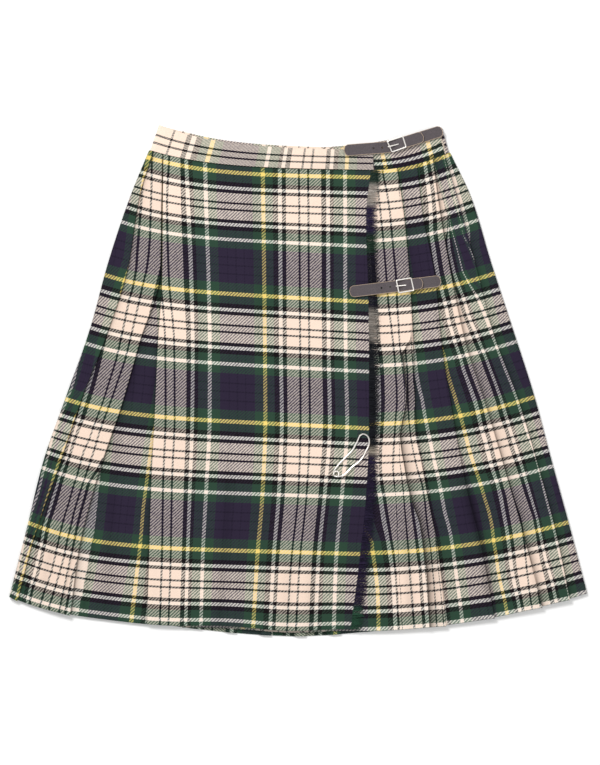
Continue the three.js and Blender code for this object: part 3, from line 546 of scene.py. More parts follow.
def left_section(t):
    r = row(t)
    folds = left_folds(t)
    start, end, top, slope = panel_heights(folds, r["left"])[1]
    strip_top = slope * folds[0][1] + 2 * LAYER
    bedded = (folds[1][0] - folds[1][1], FRONT_Z)
    under_end = (r["apron_fold"] + depth("apron_fold", t), FRONT_Z)
    side = turn(r["left"] + EDGE_IN, BACK_Z, FRONT_Z + strip_top, -1, SIDE_REACH["left"], SIDE_STEPS)
    fold_d = fold_points(folds[0], strip_top)
    fold_b = fold_points(folds[1], top)
    n = FOLD_STEPS + 1
    strip = [(r["left"] + SIDE_TURN_IN, BACK_Z), *side, *between(side[-1], fold_d[0], COUNTS["strip"]), *fold_d[:n]]
    striped = [
        *fold_d[n:], *between((start, FRONT_Z), (end - EDGE_IN, FRONT_Z + top), COUNTS["striped"]), *fold_b[:n],
    ]
    underlay = [*fold_b[n:], *between(bedded, under_end, COUNTS["underlay"]), under_end]
    tags = ["strip"] * len(strip) + ["striped"] * len(striped) + ["underlay"] * len(underlay)
    out = []
    for y, x, z, tag in placed(strip + striped + underlay, tags, left_y, t):
        if tag != "underlay":
            y -= hem_dip(x, r["d" if tag == "strip" else "b"], t)
        # Painted shade: the left panels a little darker overall and towards the left side edge, with painted shadows
        # past folds d and b, past the third line and beside the apron's fold
        if tag == "strip":
            painted_shade = 0.95 - shade(x - r["left"], 0.25, 2.5)
        elif tag == "striped":
            third = page(route(THIRD_LINE, line_at(y)))
            z += THIRD_LIP * ease(0.6, 0.7, t) * (math.exp((x - third) / 4) if x < third else 0)
            painted_shade = 0.93 - shade(x - r["d"], 0.45, 2.2) - shadow(x - third, 0.3 * ease(0.62, 0.72, t), 1.8)
        else:
            painted_shade = 1 - shade(x - r["b"], 0.5, 4.5) - shade(r["apron_fold"] - x, 0.35, 4)
        out.append((x, y, z, panel_phase(tag, x, y, t), painted_shade))
    return out


def right_section(t):
    r = row(t)
    folds = right_folds(t)
    panels = right_panels(t)
    n = FOLD_STEPS + 1
    start, ramp = (UNDER_APRON_EDGE, FRONT_Z), (r["apron_edge"] - RAMP_BEFORE_EDGE, FRONT_Z)
    points = [start, *between(start, ramp, COUNTS["under_apron"]), ramp]

    # The first rise, from the ramp to fold f, with the small fold e on it
    a, b, top, _ = panels[0]
    e = page(405)
    for _ in range(2):
        e = min(page(route(EDGE_E, line_at(right_y(e, t)))), b - LEAST_F_STRIP)
    lip = E_LIP * inner_share(t)
    at = FRONT_Z + top * (e - a) / (b - EDGE_IN - a)
    before = between((a, FRONT_Z), (e - E_GROOVE, at), COUNTS["before_e"])
    points += [(x, z + lip * math.exp((x - e) / 3.5)) for x, z in before] + [(e - E_GROOVE, at + lip)]
    tags = ["under_apron"] * len(points)
    points += [(e + E_GROOVE, at), *between((e + E_GROOVE, at), (b - EDGE_IN, FRONT_Z + top), COUNTS["after_e"])]
    folded = fold_points(folds[0], top)
    points += folded[:n]
    tags += ["strip_e"] * (len(points) - len(tags))

    # The other panels, each from the fold before it
    for name, fold, (a, b, top, _) in zip(PANEL_COUNTS, folds[1:], panels[1:]):
        points += folded[n:] + between((a, FRONT_Z), (b - EDGE_IN, FRONT_Z + top), PANEL_COUNTS[name])
        folded = fold_points(fold, top)
        points += folded[:n]
        tags += [name] * (len(points) - len(tags))
    bedded = (folds[-1][0] - folds[-1][1], FRONT_Z)
    edge = (r["right"] - EDGE_IN, FRONT_Z)
    points += folded[n:] + between(bedded, edge, COUNTS["side"])
    points += turn(edge[0], FRONT_Z, BACK_Z, 1, SIDE_REACH["right"], SIDE_STEPS) + [(r["right"] - SIDE_TURN_IN, BACK_Z)]
    tags += ["panel_i"] * (len(points) - len(tags))

    out = []
    for y, x, z, tag in placed(points, tags, right_y, t):
        if tag in FOLD_AFTER:
            y -= hem_dip(x, r[FOLD_AFTER[tag]], t)
        # Painted shadow: beside and under the apron's edge, past fold e, and past each of folds f to i
        if tag == "under_apron":
            painted_shade = 1 - shade(x - r["apron_edge"] - 6, 0.6, 3.5)
        elif tag == "strip_e":
            painted_shade = 1 - shadow(x - e, inner_share(t), 2.6 + 3.4 * t)
        else:
            upper, more = FOLD_SHADOW[tag]
            painted_shade = 1 - shadow(x - r[FOLD_BEFORE[tag]], upper + more * ease(0.25, 0.4, t), 3.0)
        out.append((x, y, z, panel_phase(tag, x, y, t), painted_shade))
    return out


def apron_section(t):
    r = row(t)
    top = over_apron_z(r["apron_fold"], t)
    fold = turn(r["apron_fold"] + EDGE_IN, FRONT_Z + LAYER, top, -1, LAYER / 2, FOLD_STEPS)
    ramp_start = r["apron_edge"] - RAMP_BEFORE_EDGE
    step = (APRON_STEP[1], over_apron_z(APRON_STEP[1], t))
    ramp = (ramp_start, over_apron_z(ramp_start, t))
    points = [(r["apron_fold"] + depth("apron_fold", t), FRONT_Z + LAYER), *fold]
    edge = (r["apron_edge"], over_apron_z(r["apron_edge"], t))
    for end, count in (((APRON_STEP[0], top), 10), (step, 14), (ramp, 140), (edge, 8)):
        points += between(points[-1], end, count) + [end]
    out = []
    for k, (x, z) in enumerate(points):
        turned_in = z <= FRONT_Z + 1.5 * LAYER and k <= FOLD_STEPS
        out.append((x, left_y(x, t), z, apron_phase(2 * r["apron_fold"] - x if turned_in else x, t), 1.0))
    return out


def back_section(t):
    r = row(t)
    start = r["right"] - SIDE_TURN_IN - 0.3
    end = r["left"] + SIDE_TURN_IN + 0.3
    pitch = (start - end) / BACK_PLEATS
    reach = lerp(*BACK_DEPTH, t)
    points = [(start, BACK_Z)]
    for k in range(1, BACK_PLEATS):
        fold = start - k * pitch
        points += turn(fold + EDGE_IN, BACK_Z, BACK_Z + LAYER, -1, LAYER / 2, 4)
        points += turn(fold + reach, BACK_Z + LAYER, BACK_Z + 2 * LAYER, 1, LAYER / 2, 4)
        points += [(fold - 1, BACK_Z + 2 * LAYER), (fold - 4, BACK_Z + LAYER), (fold - 7, BACK_Z)]
    points.append((end, BACK_Z))
    length = 0.0
    out = []
    for k, (x, z) in enumerate(points):
        if k:
            length += math.hypot(x - points[k - 1][0], z - points[k - 1][1])
        # The layers inside each pleat get painted shade
        in_fold = BACK_Z + 0.1 < z < BACK_Z + 2 * LAYER - 0.1
        phase = BACK_PHASE + (length - lerp(*BACK_MIDDLE, t)) / (WARP_PX * PX)
        out.append((x, back_y(x, t), z, phase, 1 - (BACK_FOLD_SHADE if in_fold else 0)))
    return out


# ---- Sections of the waistband
BAND_WALL = 2
BAND_LAP = 0.4
BAND_ENDS = {"under": UNDER_APRON_EDGE, "over": 88.8}
BAND_TOP = {"left": -168, "right": 171.6, "y_left": 306.4, "y_right": 303.7, "drop": 30.4, "back_drop": 25.4}
BAND_SEAM = {"left": -178.4, "right": 179.6}
BAND_Z = {"back": 1.0, "under": 4.9, "over": 7.2}
BAND_STEPS = 150
BAND_TURN = {"right": 2, "left": 3}
BAND_LEVELS = (0, 0.04, 0.25, 0.5, 0.75, 0.96, 1)
BAND_SAG = 0.5
BAND_WEFT = (24.9, 48.5)
UNDER_BAND_WEFT = (36.5, 11.5)
UNDER_BAND_START = 373


def band_y(layer, level, x):
    if level == 1:
        return {"over": left_y, "under": right_y, "back": back_y}[layer](x, 0) + BAND_LAP
    top = BAND_TOP
    if layer == "back":
        share = clamp01((x - top["left"]) / (top["right"] - top["left"]))
        return lerp(top["y_left"], top["y_right"], share) - top["back_drop"] * (1 - (2 * share - 1) ** 2)
    if layer == "over" or x < BAND_ENDS["over"]:
        share = clamp01((x - top["left"]) / (BAND_ENDS["over"] - top["left"]))
        sag = LEFT_BOW[0] * (1 - (1 - share) ** LEFT_BEND[0]) + (1 - LEFT_BOW[0]) * share
        over = top["y_left"] - top["drop"] * sag
        if layer == "over":
            return over
        end = top["y_left"] - top["drop"]
        return top["y_right"] - top["back_drop"] + over - end
    share = clamp01((top["right"] - x) / (top["right"] - BAND_ENDS["over"]))
    return top["y_right"] - top["back_drop"] * (1 - (1 - share) ** 2)


BAND_WARP = (
    [159, 167.2, 182.5, 187.6, 207.4, 266, 283, 383],
    [44.8, 36.6, 21, 17.2, 1.7, -53.2, -70.2, -170.2],
)
UNDER_BAND_WARP = ([366, 384, 387.6, 388.2, 409, 430, 433.6, 448], [-18, 0, 3.5, -1, -30, 0, 3.5, 9])


def band_section(level):
    left = lerp(BAND_TOP["left"], BAND_SEAM["left"], level) + 1
    right = lerp(BAND_TOP["right"], BAND_SEAM["right"], level) - 1
    right_turn = turn(right, BAND_Z["under"], BAND_Z["back"], 1, BAND_TURN["right"], SIDE_STEPS)
    left_turn = turn(left, BAND_Z["back"], BAND_Z["over"], -1, BAND_TURN["left"], SIDE_STEPS)
    under_end, over_end = (BAND_ENDS["under"], BAND_Z["under"]), (BAND_ENDS["over"], BAND_Z["over"])
    runs = [
        ("under", [under_end, *between(under_end, right_turn[0], BAND_STEPS)]),
        ("back", [*right_turn, *between(right_turn[-1], left_turn[0], BAND_STEPS), *left_turn]),
        ("over", [*between(left_turn[-1], over_end, BAND_STEPS), over_end]),
    ]
    return [(x, band_y(layer, level, x), z, layer) for layer, points in runs for x, z in points]


# ---- Meshes
TWILL = 4.1  # mm across the cloth from one twill line to the next


def wall_mesh(name, rows, thickness, uvs, painted_shade=None):
    """A wall about rows of (x, y, z), the thickness measured across each section, with a weave UV."""
    rows = np.array(rows, float)
    count_r, count_k = rows.shape[:2]
    before = rows[:, np.maximum(0, np.arange(count_k) - 1)]
    after = rows[:, np.minimum(count_k - 1, np.arange(count_k) + 1)]
    into = (rows - before)[..., [0, 2]]
    out = (after - rows)[..., [0, 2]]

    def unit(v):
        return v / np.maximum(1e-9, np.linalg.norm(v, axis=-1, keepdims=True))

    into, out = unit(into), unit(out)
    ahead = unit(into + out)
    ref = np.where((np.arange(count_k) > 0)[None, :, None], into, out)
    bend = np.maximum(0.6, np.abs((ahead * ref).sum(-1)))
    offset = thickness / 2 / bend
    verts = []
    for side in (1, -1):
        moved = rows.copy()
        moved[..., 0] -= ahead[..., 1] * offset * side
        moved[..., 2] += ahead[..., 0] * offset * side
        verts.append(moved.reshape(-1, 3))
    verts = np.concatenate(verts)
    faces = []

    def vid(side, r, k):
        return (side * count_r + r) * count_k + k

    last, c = count_r - 1, count_k - 1
    for r in range(last):
        for k in range(c):
            faces.append((vid(0, r, k), vid(0, r + 1, k), vid(0, r + 1, k + 1), vid(0, r, k + 1)))
            faces.append((vid(1, r, k), vid(1, r, k + 1), vid(1, r + 1, k + 1), vid(1, r + 1, k)))
        faces.append((vid(0, r, 0), vid(1, r, 0), vid(1, r + 1, 0), vid(0, r + 1, 0)))
        faces.append((vid(0, r, c), vid(0, r + 1, c), vid(1, r + 1, c), vid(1, r, c)))
    for k in range(c):
        faces.append((vid(0, 0, k), vid(0, 0, k + 1), vid(1, 0, k + 1), vid(1, 0, k)))
        faces.append((vid(0, last, k), vid(1, last, k), vid(1, last, k + 1), vid(0, last, k + 1)))
    uv = np.array(uvs, float).reshape(-1, 2)
    # Painted shade per point, multiplied into the cloth's colour; none where it is not given
    painted_shade = np.ones(len(uv)) if painted_shade is None else np.array(painted_shade, float).reshape(-1)
    steps = np.hypot(*np.moveaxis(np.diff(rows[..., [0, 2]], axis=1), -1, 0))
    run = rows[:, :1, 0] + np.concatenate([np.zeros((count_r, 1)), np.cumsum(steps, axis=1)], axis=1)
    grain = ((run - rows[..., 1]) / TWILL).reshape(-1)
    with_painted_shade = np.stack([painted_shade, grain], axis=-1)
    return make_mesh(name, verts, faces, np.concatenate([uv, uv]), with_painted_shade=np.concatenate([with_painted_shade, with_painted_shade]))


def new_object(name, data):
    obj = bpy.data.objects.new(name, data)
    bpy.context.scene.collection.objects.link(obj)
    return obj


def make_mesh(name, verts, faces, uv=None, sharp=50, with_painted_shade=None):
    verts = np.asarray(verts, float)
    mesh = bpy.data.meshes.new(name)
    metres = (verts + np.array([*SHIFT, 0])) * SCALE
    mesh.from_pydata([tuple(v) for v in metres], [], faces)
    if uv is not None:
        layer = mesh.uv_layers.new(name="weave")
        index = np.empty(len(mesh.loops), dtype=np.int32)
        mesh.loops.foreach_get("vertex_index", index)
        layer.data.foreach_set("uv", np.asarray(uv, float)[index].astype(np.float32).ravel())
    # A second UV layer holds the painted shade, then the twill's diagonal
    if with_painted_shade is not None:
        layer = mesh.uv_layers.new(name="painted_shade")
        layer.data.foreach_set("uv", with_painted_shade[index].astype(np.float32).ravel())
    mesh.polygons.foreach_set("use_smooth", [True] * len(mesh.polygons))
    mesh.set_sharp_from_angle(angle=math.radians(sharp))
    mesh.validate()
    bm = bmesh.new()
    bm.from_mesh(mesh)
    bmesh.ops.recalc_face_normals(bm, faces=bm.faces)
    bm.to_mesh(mesh)
    bm.free()
    return new_object(name, mesh)


STEPS_DOWN = 120


def cloth_rows(section, weft):
    rows, uvs, painted_shade = [], [], []
    for t in (k / STEPS_DOWN for k in range(STEPS_DOWN + 1)):
        points = section(t)
        v = smooth(*weft, t)
        rows.append([point[:3] for point in points])
        uvs.append([(point[3], v) for point in points])
        painted_shade.append([point[4] for point in points])
    return rows, uvs, painted_shade


# ---- Materials
def new_material(name):
    mat = bpy.data.materials.new(name)
    mat.use_nodes = True
    tree = mat.node_tree
    tree.nodes.clear()
    out = tree.nodes.new("ShaderNodeOutputMaterial")
    shader = tree.nodes.new("ShaderNodeBsdfPrincipled")
    tree.links.new(shader.outputs[0], out.inputs[0])
    return mat, tree, shader


def feed(tree, node, inputs):
    """Numbers, colours or other nodes' outputs into a node's inputs."""
    for key, value in inputs.items():
        if isinstance(value, tuple):
            node.inputs[key].default_value = (*value, 1)
        elif isinstance(value, (int, float)):
            node.inputs[key].default_value = value
        else:
            tree.links.new(value, node.inputs[key])
    return node


def add(tree, kind, inputs):
    return feed(tree, tree.nodes.new("ShaderNode" + kind), inputs)


def math_node(tree, operation, *values):
    node = add(tree, "Math", dict(enumerate(values)))
    node.operation = operation
    return node.outputs[0]


def noise(tree, vector, scale, detail, rough):
    inputs = {"Vector": vector, "Scale": scale, "Detail": detail, "Roughness": rough}
    return add(tree, "TexNoise", inputs).outputs["Fac"]


def map_range(tree, value, a, b, c, d):
    inputs = {"Value": value, "From Min": a, "From Max": b, "To Min": c, "To Max": d}
    return add(tree, "MapRange", inputs).outputs["Result"]


def mix_colour(tree, kind, fac, a, b):
    node = tree.nodes.new("ShaderNodeMix")
    node.data_type = "RGBA"
    node.blend_type = kind
    node.clamp_factor = True
    return feed(tree, node, {0: fac, 6: a, 7: b}).outputs[2]


def gamma(tree, colour, power):
    return add(tree, "Gamma", {"Color": colour, "Gamma": power}).outputs[0]


def grey(tree, value):
    return add(tree, "CombineColor", {0: value, 1: value, 2: value}).outputs[0]


def uv_parts(tree, name):
    uv = tree.nodes.new("ShaderNodeUVMap")
    uv.uv_map = name
    return add(tree, "SeparateXYZ", {0: uv.outputs[0]}).outputs[:2]


def roughen(tree, shader, height, strength):
    bump = add(tree, "Bump", {"Strength": strength, "Distance": BUMP, "Height": height})
    feed(tree, shader, {"Normal": bump.outputs[0]})


BUMP = 0.0002
NAVY_PARTS = (("N", 0.24), ("n", 0.04), ("N", 0.2), ("n", 0.04), ("N", 0.2), ("n", 0.04), ("N", 0.24))


def sett_ramp(tree, value, sett):
    """Stripe colours by place in the sett, the navy with three fine darker lines in it."""
    total = sum(width for _, width in sett)
    stops, place = [], 0.0
    for name, width in sett:
        for part, share in NAVY_PARTS if name == "N" else ((name, 1),):
            stops.append((place / total, YARN[part]))
            place += width * share
    node = tree.nodes.new("ShaderNodeValToRGB")
    ramp = node.color_ramp
    ramp.interpolation = "CONSTANT"
    while len(ramp.elements) > 1:
        ramp.elements.remove(ramp.elements[0])
    ramp.elements[0].position = 0
    ramp.elements[0].color = (*stops[0][1], 1)
    for position, colour in stops[1:]:
        ramp.elements.new(position).color = (*colour, 1)
    tree.links.new(value, node.inputs["Fac"])
    return node.outputs["Color"]


TWILL_SHOWN = (0.17, 0.33, 0.13, 0.66)  # the wave's range, and the warp's share from its foot to its crest
TWILL_RAGGED = 0.12
CROSSING_TINT = (0.95, 1.02, 1.03)
DISPLAY_GAMMA = 2.2


def tartan(name):
    """Warp and weft stripes mixed by a twill, as bright as the eye mixes them, with nap, and with painted shade at
    folds and creases.
    """
    mat, tree, shader = new_material(name)
    place = tree.nodes.new("ShaderNodeTexCoord").outputs["Object"]
    u, v = uv_parts(tree, "weave")
    painted_shade, grain = uv_parts(tree, "painted_shade")
    warp = sett_ramp(tree, math_node(tree, "FRACT", u), WARP_SETT)
    weft = sett_ramp(tree, math_node(tree, "FRACT", v), WEFT_SETT)
    ragged = map_range(tree, noise(tree, place, 900, 1, 0.5), 0.3, 0.7, -TWILL_RAGGED, TWILL_RAGGED)
    wave = math_node(tree, "PINGPONG", math_node(tree, "ADD", grain, ragged), 0.5)
    over = map_range(tree, wave, *TWILL_SHOWN)
    difference = mix_colour(tree, "DIFFERENCE", 1.0, warp, weft)
    cloth = mix_colour(tree, "MIX", over, gamma(tree, weft, 1 / DISPLAY_GAMMA), gamma(tree, warp, 1 / DISPLAY_GAMMA))
    crossing = mix_colour(tree, "MULTIPLY", 1.0, cloth, CROSSING_TINT)
    cloth = gamma(tree, mix_colour(tree, "MIX", difference, cloth, crossing), DISPLAY_GAMMA)
    nap = noise(tree, place, 1500, 2, 0.6)
    cloud = noise(tree, place, 9, 3, 0.55)
    value = math_node(
        tree, "MULTIPLY", map_range(tree, nap, 0.3, 0.7, 0.86, 1.1), map_range(tree, cloud, 0.3, 0.7, 0.96, 1.04))
    # The painted shade of folds and creases, carried by the mesh, darkens the colour
    value = math_node(tree, "MULTIPLY", value, painted_shade)
    with_painted_shade = mix_colour(tree, "MULTIPLY", 1.0, cloth, grey(tree, value))
    feed(tree, shader, {"Base Color": with_painted_shade, "Roughness": 0.95, "Specular IOR Level": 0.06})
    feed(tree, shader, {"Sheen Weight": 0.02, "Sheen Roughness": 0.6})
    height = math_node(tree, "ADD", math_node(tree, "MULTIPLY", wave, 1.2), math_node(tree, "MULTIPLY", nap, 0.5))
    roughen(tree, shader, height, 0.35)
    return mat


def plain(name, colour, roughness, metallic=0.0, spots=400, amount=0.15, strength=0.3):
    """One colour, a little uneven."""
    mat, tree, shader = new_material(name)
    fac = noise(tree, tree.nodes.new("ShaderNodeTexCoord").outputs["Object"], spots, 4, 0.6)
    dark = tuple(c * (1 - amount) for c in colour)
    light = tuple(min(1, c * (1 + amount)) for c in colour)
    mixed = mix_colour(tree, "MIX", map_range(tree, fac, 0.3, 0.7, 0, 1), dark, light)
    feed(tree, shader, {"Base Color": mixed, "Roughness": roughness, "Metallic": metallic})
    roughen(tree, shader, fac, strength)
    return mat


CLOTH_LOOK = tartan("tartan_wool")
LEATHER_LOOK = plain("strap_leather", (0.058, 0.045, 0.050), 0.5, spots=900, amount=0.35)
METAL_LOOK = plain("plated_wire", (0.95, 0.91, 0.86), 0.3, metallic=0.85, spots=120, amount=0.05, strength=0.05)


def dress(obj, material, *nodes, slot=None):
    obj.data.materials.clear()
    obj.data.materials.append(material)
    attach(obj, "root")
    if nodes:
        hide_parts(*nodes)
    return obj


# ---- Cloth pieces
# The darkest that the painted shade of folds and creases may make the cloth
DARKEST = 0.1
for name, section, weft, creases, held, rests_on in (
    ("back_pleats", back_section, WEFT_LEFT, BACK_CREASES, "folded", "floor"),
    ("right_pleats", right_section, WEFT_RIGHT, CREASES, "folded", "back_pleats_cloth"),
    ("left_pleats", left_section, WEFT_LEFT, CREASES, "folded", "back_pleats_cloth"),
    ("over_apron", apron_section, WEFT_LEFT, CREASES, "laid", "right_pleats_cloth"),
):
    rows, uvs, painted_shade = cloth_rows(section, weft)
    rows, crease_shade = creased(rows, creases)
    # Painted fold shadows times the painted shade in the creases
    painted_shade = np.clip(np.array(painted_shade) * crease_shade, DARKEST, 1)
    obj = dress(wall_mesh(name + "_cloth", rows, CLOTH, uvs, painted_shade), CLOTH_LOOK, name, slot="tartan_cloth")

# ---- Waistband
band_rows, band_uvs = [], []
for level in BAND_LEVELS:
    points, uv = [], []
    for a, b in zip(band_section(0), band_section(1)):
        sag = math.sin(math.pi * level) * BAND_SAG
        x, y, z = (lerp(a[k], b[k], level) for k in range(3))
        points.append((x, y, z + (sag if a[3] == "over" else 0)))
        px = column_at(b[0])
        under = a[3] == "under" and px > UNDER_BAND_START
        warp, weft = (UNDER_BAND_WARP, UNDER_BAND_WEFT) if under else (BAND_WARP, BAND_WEFT)
        uv.append((float(np.interp(px, *warp)) / WARP_PX, lerp(*weft, level) / WEFT_PX))
    band_rows.append(points)
    band_uvs.append(uv)
band = wall_mesh("waistband_cloth", band_rows, BAND_WALL * 0.95, band_uvs)
dress(band, CLOTH_LOOK, "waistband", slot="tartan_cloth")

# ---- Solids that stay as they are
for look, nodes in (
    (LEATHER_LOOK, ("upper_strap", "upper_tab", "lower_strap", "lower_tab")),
    (METAL_LOOK, ("upper_buckle", "upper_prong", "lower_buckle", "lower_prong", "kilt_pin")),
):
    for node in nodes:
        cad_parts[node].data.materials.clear()
        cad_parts[node].data.materials.append(look)


# ---- Small metal and leather parts
def ring(centre, side, up, sides):
    """Points round a centre, side and up being the half widths."""
    angles = (2 * math.pi * k / sides for k in range(sides))
    return [tuple(centre + math.cos(angle) * side + math.sin(angle) * up) for angle in angles]


def skin(first, second, sides):
    """Faces between two rings, given by their first vertices."""
    return [(first + k, first + (k + 1) % sides, second + (k + 1) % sides, second + k) for k in range(sides)]


def add_rod(verts, faces, start, end, radius, sides):
    """A straight round rod with closed ends."""
    ahead = (end - start).normalized()
    side = ahead.cross(Vector((0, 0, 1))).normalized()
    up = side.cross(ahead).normalized()
    base = len(verts)
    verts += ring(start, radius * side, radius * up, sides) + ring(end, radius * side, radius * up, sides)
    faces += skin(base, base + sides, sides)
    faces.append(tuple(base + k for k in range(sides - 1, -1, -1)))
    faces.append(tuple(base + sides + k for k in range(sides)))


# Buckle frames: all four sides show above the leather, as in the picture
FRAME_RADIUS = 0.85
FRAME_FLATNESS = 0.8
FRAME_SUNK = 0.4
FRAME_SIDES = 10
CORNER_REACH = 1.3
CORNER_STEPS = 5
BUCKLES = {
    "lower_buckle": ("lower_strap", [(396, 280.7), (410.6, 278.2), (413.4, 290.6), (398.6, 293)]),
    "upper_buckle": ("upper_strap", [(387, 142), (402.4, 137), (405.8, 147.6), (391.8, 152.6)]),
}


def highest(node):
    node_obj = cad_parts[node]
    return max((node_obj.matrix_world @ v.co).z for v in node_obj.data.vertices) / SCALE


def buckle_frame(node, strap, corners):
    z = max(highest(node), highest(strap)) - FRAME_SUNK
    points = [Vector((page(px), page_y(py), z)) for px, py in corners]
    path = []
    for k, corner in enumerate(points):
        beside = (points[k - 1], points[(k + 1) % 4])
        start, end = (corner + (other - corner).normalized() * CORNER_REACH for other in beside)
        for n in range(CORNER_STEPS + 1):
            u = n / CORNER_STEPS
            path.append((1 - u) ** 2 * start + 2 * u * (1 - u) * corner + u * u * end)
    verts, faces = [], []
    for k, point in enumerate(path):
        m = (k + 1) % len(path)
        ahead = (path[m] - path[k - 1]).normalized()
        side, up = Vector((-ahead.y, ahead.x, 0)), Vector((0, 0, FRAME_FLATNESS))
        verts += ring(point, FRAME_RADIUS * side, FRAME_RADIUS * up, FRAME_SIDES)
        faces += skin(k * FRAME_SIDES, m * FRAME_SIDES, FRAME_SIDES)
    return make_mesh(node + "_frame", verts, faces, sharp=80)


for node, (strap, corners) in BUCKLES.items():
    dress(buckle_frame(node, strap, corners), METAL_LOOK, node, slot="buckle_metal")

# Painted edges of the leather: a thin tan line round the top of each strap, none round the prong's holes
EDGE_RADIUS = 0.32 * SCALE
EDGE_SIDES = 6
SHORTEST_EDGE = 0.2 * SCALE
SAME_POINT = 0.001 * SCALE
HOLE_SIZE = 4 * SCALE


def long_lines(edges):
    """Drops the lines that close within a prong hole's size."""
    kept, left = [], list(edges)
    while left:
        line, ends = [], {left[0].verts[0]}
        grown = True
        while grown:
            joined = [edge for edge in left if edge.verts[0] in ends or edge.verts[1] in ends]
            line += joined
            ends.update(v for edge in joined for v in edge.verts)
            left = [edge for edge in left if edge not in joined]
            grown = bool(joined)
        spread = max((a.co - b.co).length for a in ends for b in ends)
        if spread > HOLE_SIZE:
            kept += line
    return kept


def is_rim(edge):
    """Between a face that looks up and one that looks to the side."""
    slopes = sorted(face.normal.z for face in edge.link_faces)
    return len(slopes) == 2 and slopes[1] > 0.8 and slopes[0] < 0.5 and edge.calc_length() > SHORTEST_EDGE


def strap_edges():
    verts, faces = [], []
    for node in ("upper_strap", "upper_tab", "lower_strap", "lower_tab"):
        node_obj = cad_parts[node]
        bm = bmesh.new()
        bm.from_mesh(node_obj.data)
        bm.transform(node_obj.matrix_world)
        bmesh.ops.remove_doubles(bm, verts=bm.verts, dist=SAME_POINT)
        bm.normal_update()
        for edge in long_lines(edge for edge in bm.edges if is_rim(edge)):
            add_rod(verts, faces, edge.verts[0].co, edge.verts[1].co, EDGE_RADIUS, EDGE_SIDES)
        bm.free()
    on_page = [(x / SCALE - SHIFT[0], y / SCALE - SHIFT[1], z / SCALE) for x, y, z in verts]
    return make_mesh("strap_edging", on_page, faces, sharp=80)


dress(strap_edges(), plain("edge_paint", (0.36, 0.27, 0.20), 0.6, spots=700, amount=0.3), slot="strap_leather")

# The pin's needle runs on into its head, as in the picture
NEEDLE_POINT = (Vector((69.1, -74.1, 7.4)), Vector((72.4, -66.8, 7.9)))
NEEDLE_RADIUS = 0.8
NEEDLE_SIDES = 8


def needle_point():
    verts, faces = [], []
    add_rod(verts, faces, *NEEDLE_POINT, NEEDLE_RADIUS, NEEDLE_SIDES)
    return make_mesh("needle_point", verts, faces, sharp=60)


dress(needle_point(), METAL_LOOK, slot="pin_metal")

# ---- Fringe
rng = np.random.default_rng(7)
FRINGE_YARN = [
    (0.0, (0.014, 0.03, 0.022)), (0.035, (0.30, 0.27, 0.24)), (0.08, (0.02, 0.014, 0.04)),
    (0.14, (0.014, 0.032, 0.02)), (0.18, (0.010, 0.009, 0.016)), (0.30, (0.2, 0.18, 0.16)),
    (0.37, (0.010, 0.011, 0.014)), (0.605, (0.30, 0.26, 0.21)), (0.62, (0.017, 0.012, 0.031)),
    (0.955, (0.02, 0.06, 0.035)),
]
FRINGE_BLEND = 0.012
YARNS = 1500


def fringe_mesh():
    verts, faces, uv = [], [], []
    for k in range(YARNS):
        t = clamp01((k + rng.random()) / YARNS)
        x0 = row(t)["apron_edge"] - 0.6
        y0 = left_y(x0, t)
        z0 = over_apron_z(x0, t) + rng.uniform(-0.35, 0.3)
        length = rng.uniform(9.5, 15)
        sweep = rng.uniform(-4.6, 0.8) * (0.35 + 0.65 * t)
        curl = rng.uniform(-1.2, 1.2)
        radius = rng.uniform(0.16, 0.3)
        pts = []
        for s in (0, 0.35, 0.7, 1):
            x = x0 + length * s
            y = y0 + sweep * s * s + curl * s * (1 - s)
            floor_z = under_apron_z(x, t) + CLOTH / 2 + 0.25
            z = lerp(z0, floor_z + rng.uniform(0, 0.7), ease(0, 0.8, s))
            pts.append((x, y, max(z, floor_z)))
        base = len(verts)
        for n, p in enumerate(pts):
            rr = radius * (1 if n < 3 else 0.5)
            for a in range(3):
                angle = 2 * math.pi * a / 3 + k
                verts.append((p[0], p[1] + rr * math.cos(angle), p[2] + rr * math.sin(angle)))
                uv.append((k / YARNS, t))
        for n in range(3):
            faces += skin(base + 3 * n, base + 3 * n + 3, 3)
        faces.append((base + 2, base + 1, base))
        faces.append((base + 9, base + 10, base + 11))
    return make_mesh("fringe_yarns", verts, faces, uv, sharp=80)


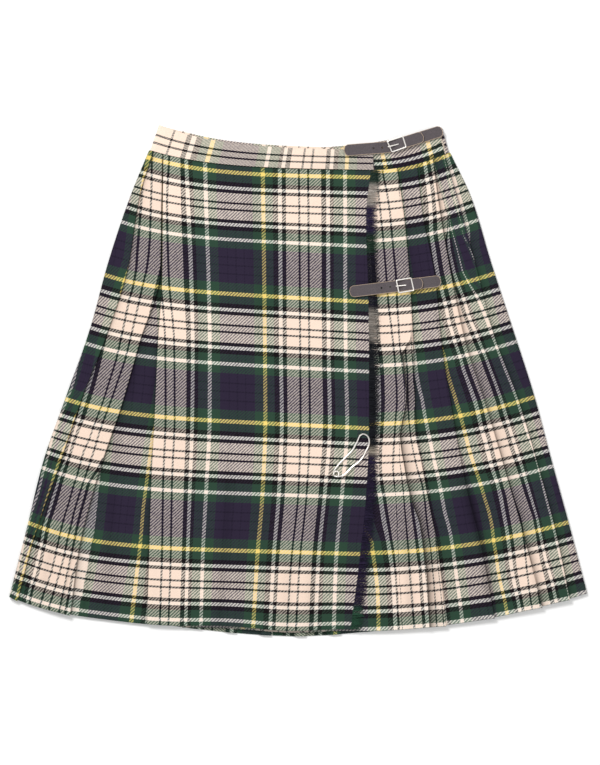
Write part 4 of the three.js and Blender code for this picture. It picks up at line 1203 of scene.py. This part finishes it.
def fringe_look():
    mat, tree, shader = new_material("fringe_yarn")
    yarn, down = uv_parts(tree, "weave")
    node = tree.nodes.new("ShaderNodeValToRGB")
    ramp = node.color_ramp
    ramp.elements[0].position, ramp.elements[0].color = 0, (*FRINGE_YARN[0][1], 1)
    ramp.elements[1].position, ramp.elements[1].color = 1, (*FRINGE_YARN[-1][1], 1)
    for (_, above), (position, colour) in zip(FRINGE_YARN, FRINGE_YARN[1:]):
        ramp.elements.new(position - FRINGE_BLEND).color = (*above, 1)
        ramp.elements.new(position).color = (*colour, 1)
    tree.links.new(down, node.inputs["Fac"])
    white = tree.nodes.new("ShaderNodeTexWhiteNoise")
    white.noise_dimensions = "1D"
    tree.links.new(yarn, white.inputs["W"])
    value = grey(tree, map_range(tree, white.outputs["Value"], 0, 1, 0.55, 1.6))
    colour = mix_colour(tree, "MULTIPLY", 1.0, node.outputs[0], value)
    feed(tree, shader, {"Base Color": colour, "Roughness": 0.9, "Specular IOR Level": 0.1})
    return mat


dress(fringe_mesh(), fringe_look(), "fringe", slot="fringe_yarn")

# ---- Floor, light and camera
bpy.ops.mesh.primitive_plane_add(size=8, location=(0, 0, -0.0002))
floor = bpy.context.object
floor.name = "floor"
floor_mat, floor_tree, floor_shader = new_material("paper")
feed(floor_tree, floor_shader, {"Base Color": (0.905, 0.905, 0.9), "Roughness": 0.9, "Specular IOR Level": 0.1})
floor.data.materials.append(floor_mat)


def area_light(name, location, size, power):
    data = bpy.data.lights.new(name, "AREA")
    data.shape = "DISK"
    data.size = size
    data.energy = power
    obj = new_object(name, data)
    obj.location = location
    obj.rotation_euler = (-Vector(location)).to_track_quat("-Z", "Y").to_euler()


area_light("key", (-1.1, 1.5, 2.2), 1.0, 62)
area_light("fill", (1.6, -0.6, 2.6), 2.2, 18)
world = bpy.data.worlds.new("studio")
world.use_nodes = True
background = world.node_tree.nodes["Background"]
background.inputs[0].default_value = (1, 1, 1, 1)
background.inputs[1].default_value = 0.62
bpy.context.scene.world = world

# The picture is seen straight from above
PICTURE_HEIGHT = 765
PICTURE_MIDDLE = (1.2, -2.28)  # on the page
DISTANCE = 4.0
SENSOR = 24
camera_data = bpy.data.cameras.new("camera")
camera_data.sensor_fit = "VERTICAL"
camera_data.sensor_height = SENSOR
camera_data.lens = SENSOR * DISTANCE / (PICTURE_HEIGHT * PX * SCALE)
camera_data.clip_end = 50
camera = new_object("camera", camera_data)
camera.location = (*((middle + shift) * SCALE for middle, shift in zip(PICTURE_MIDDLE, SHIFT)), DISTANCE)
bpy.context.scene.camera = camera
bpy.context.scene.view_settings.view_transform = "Standard"
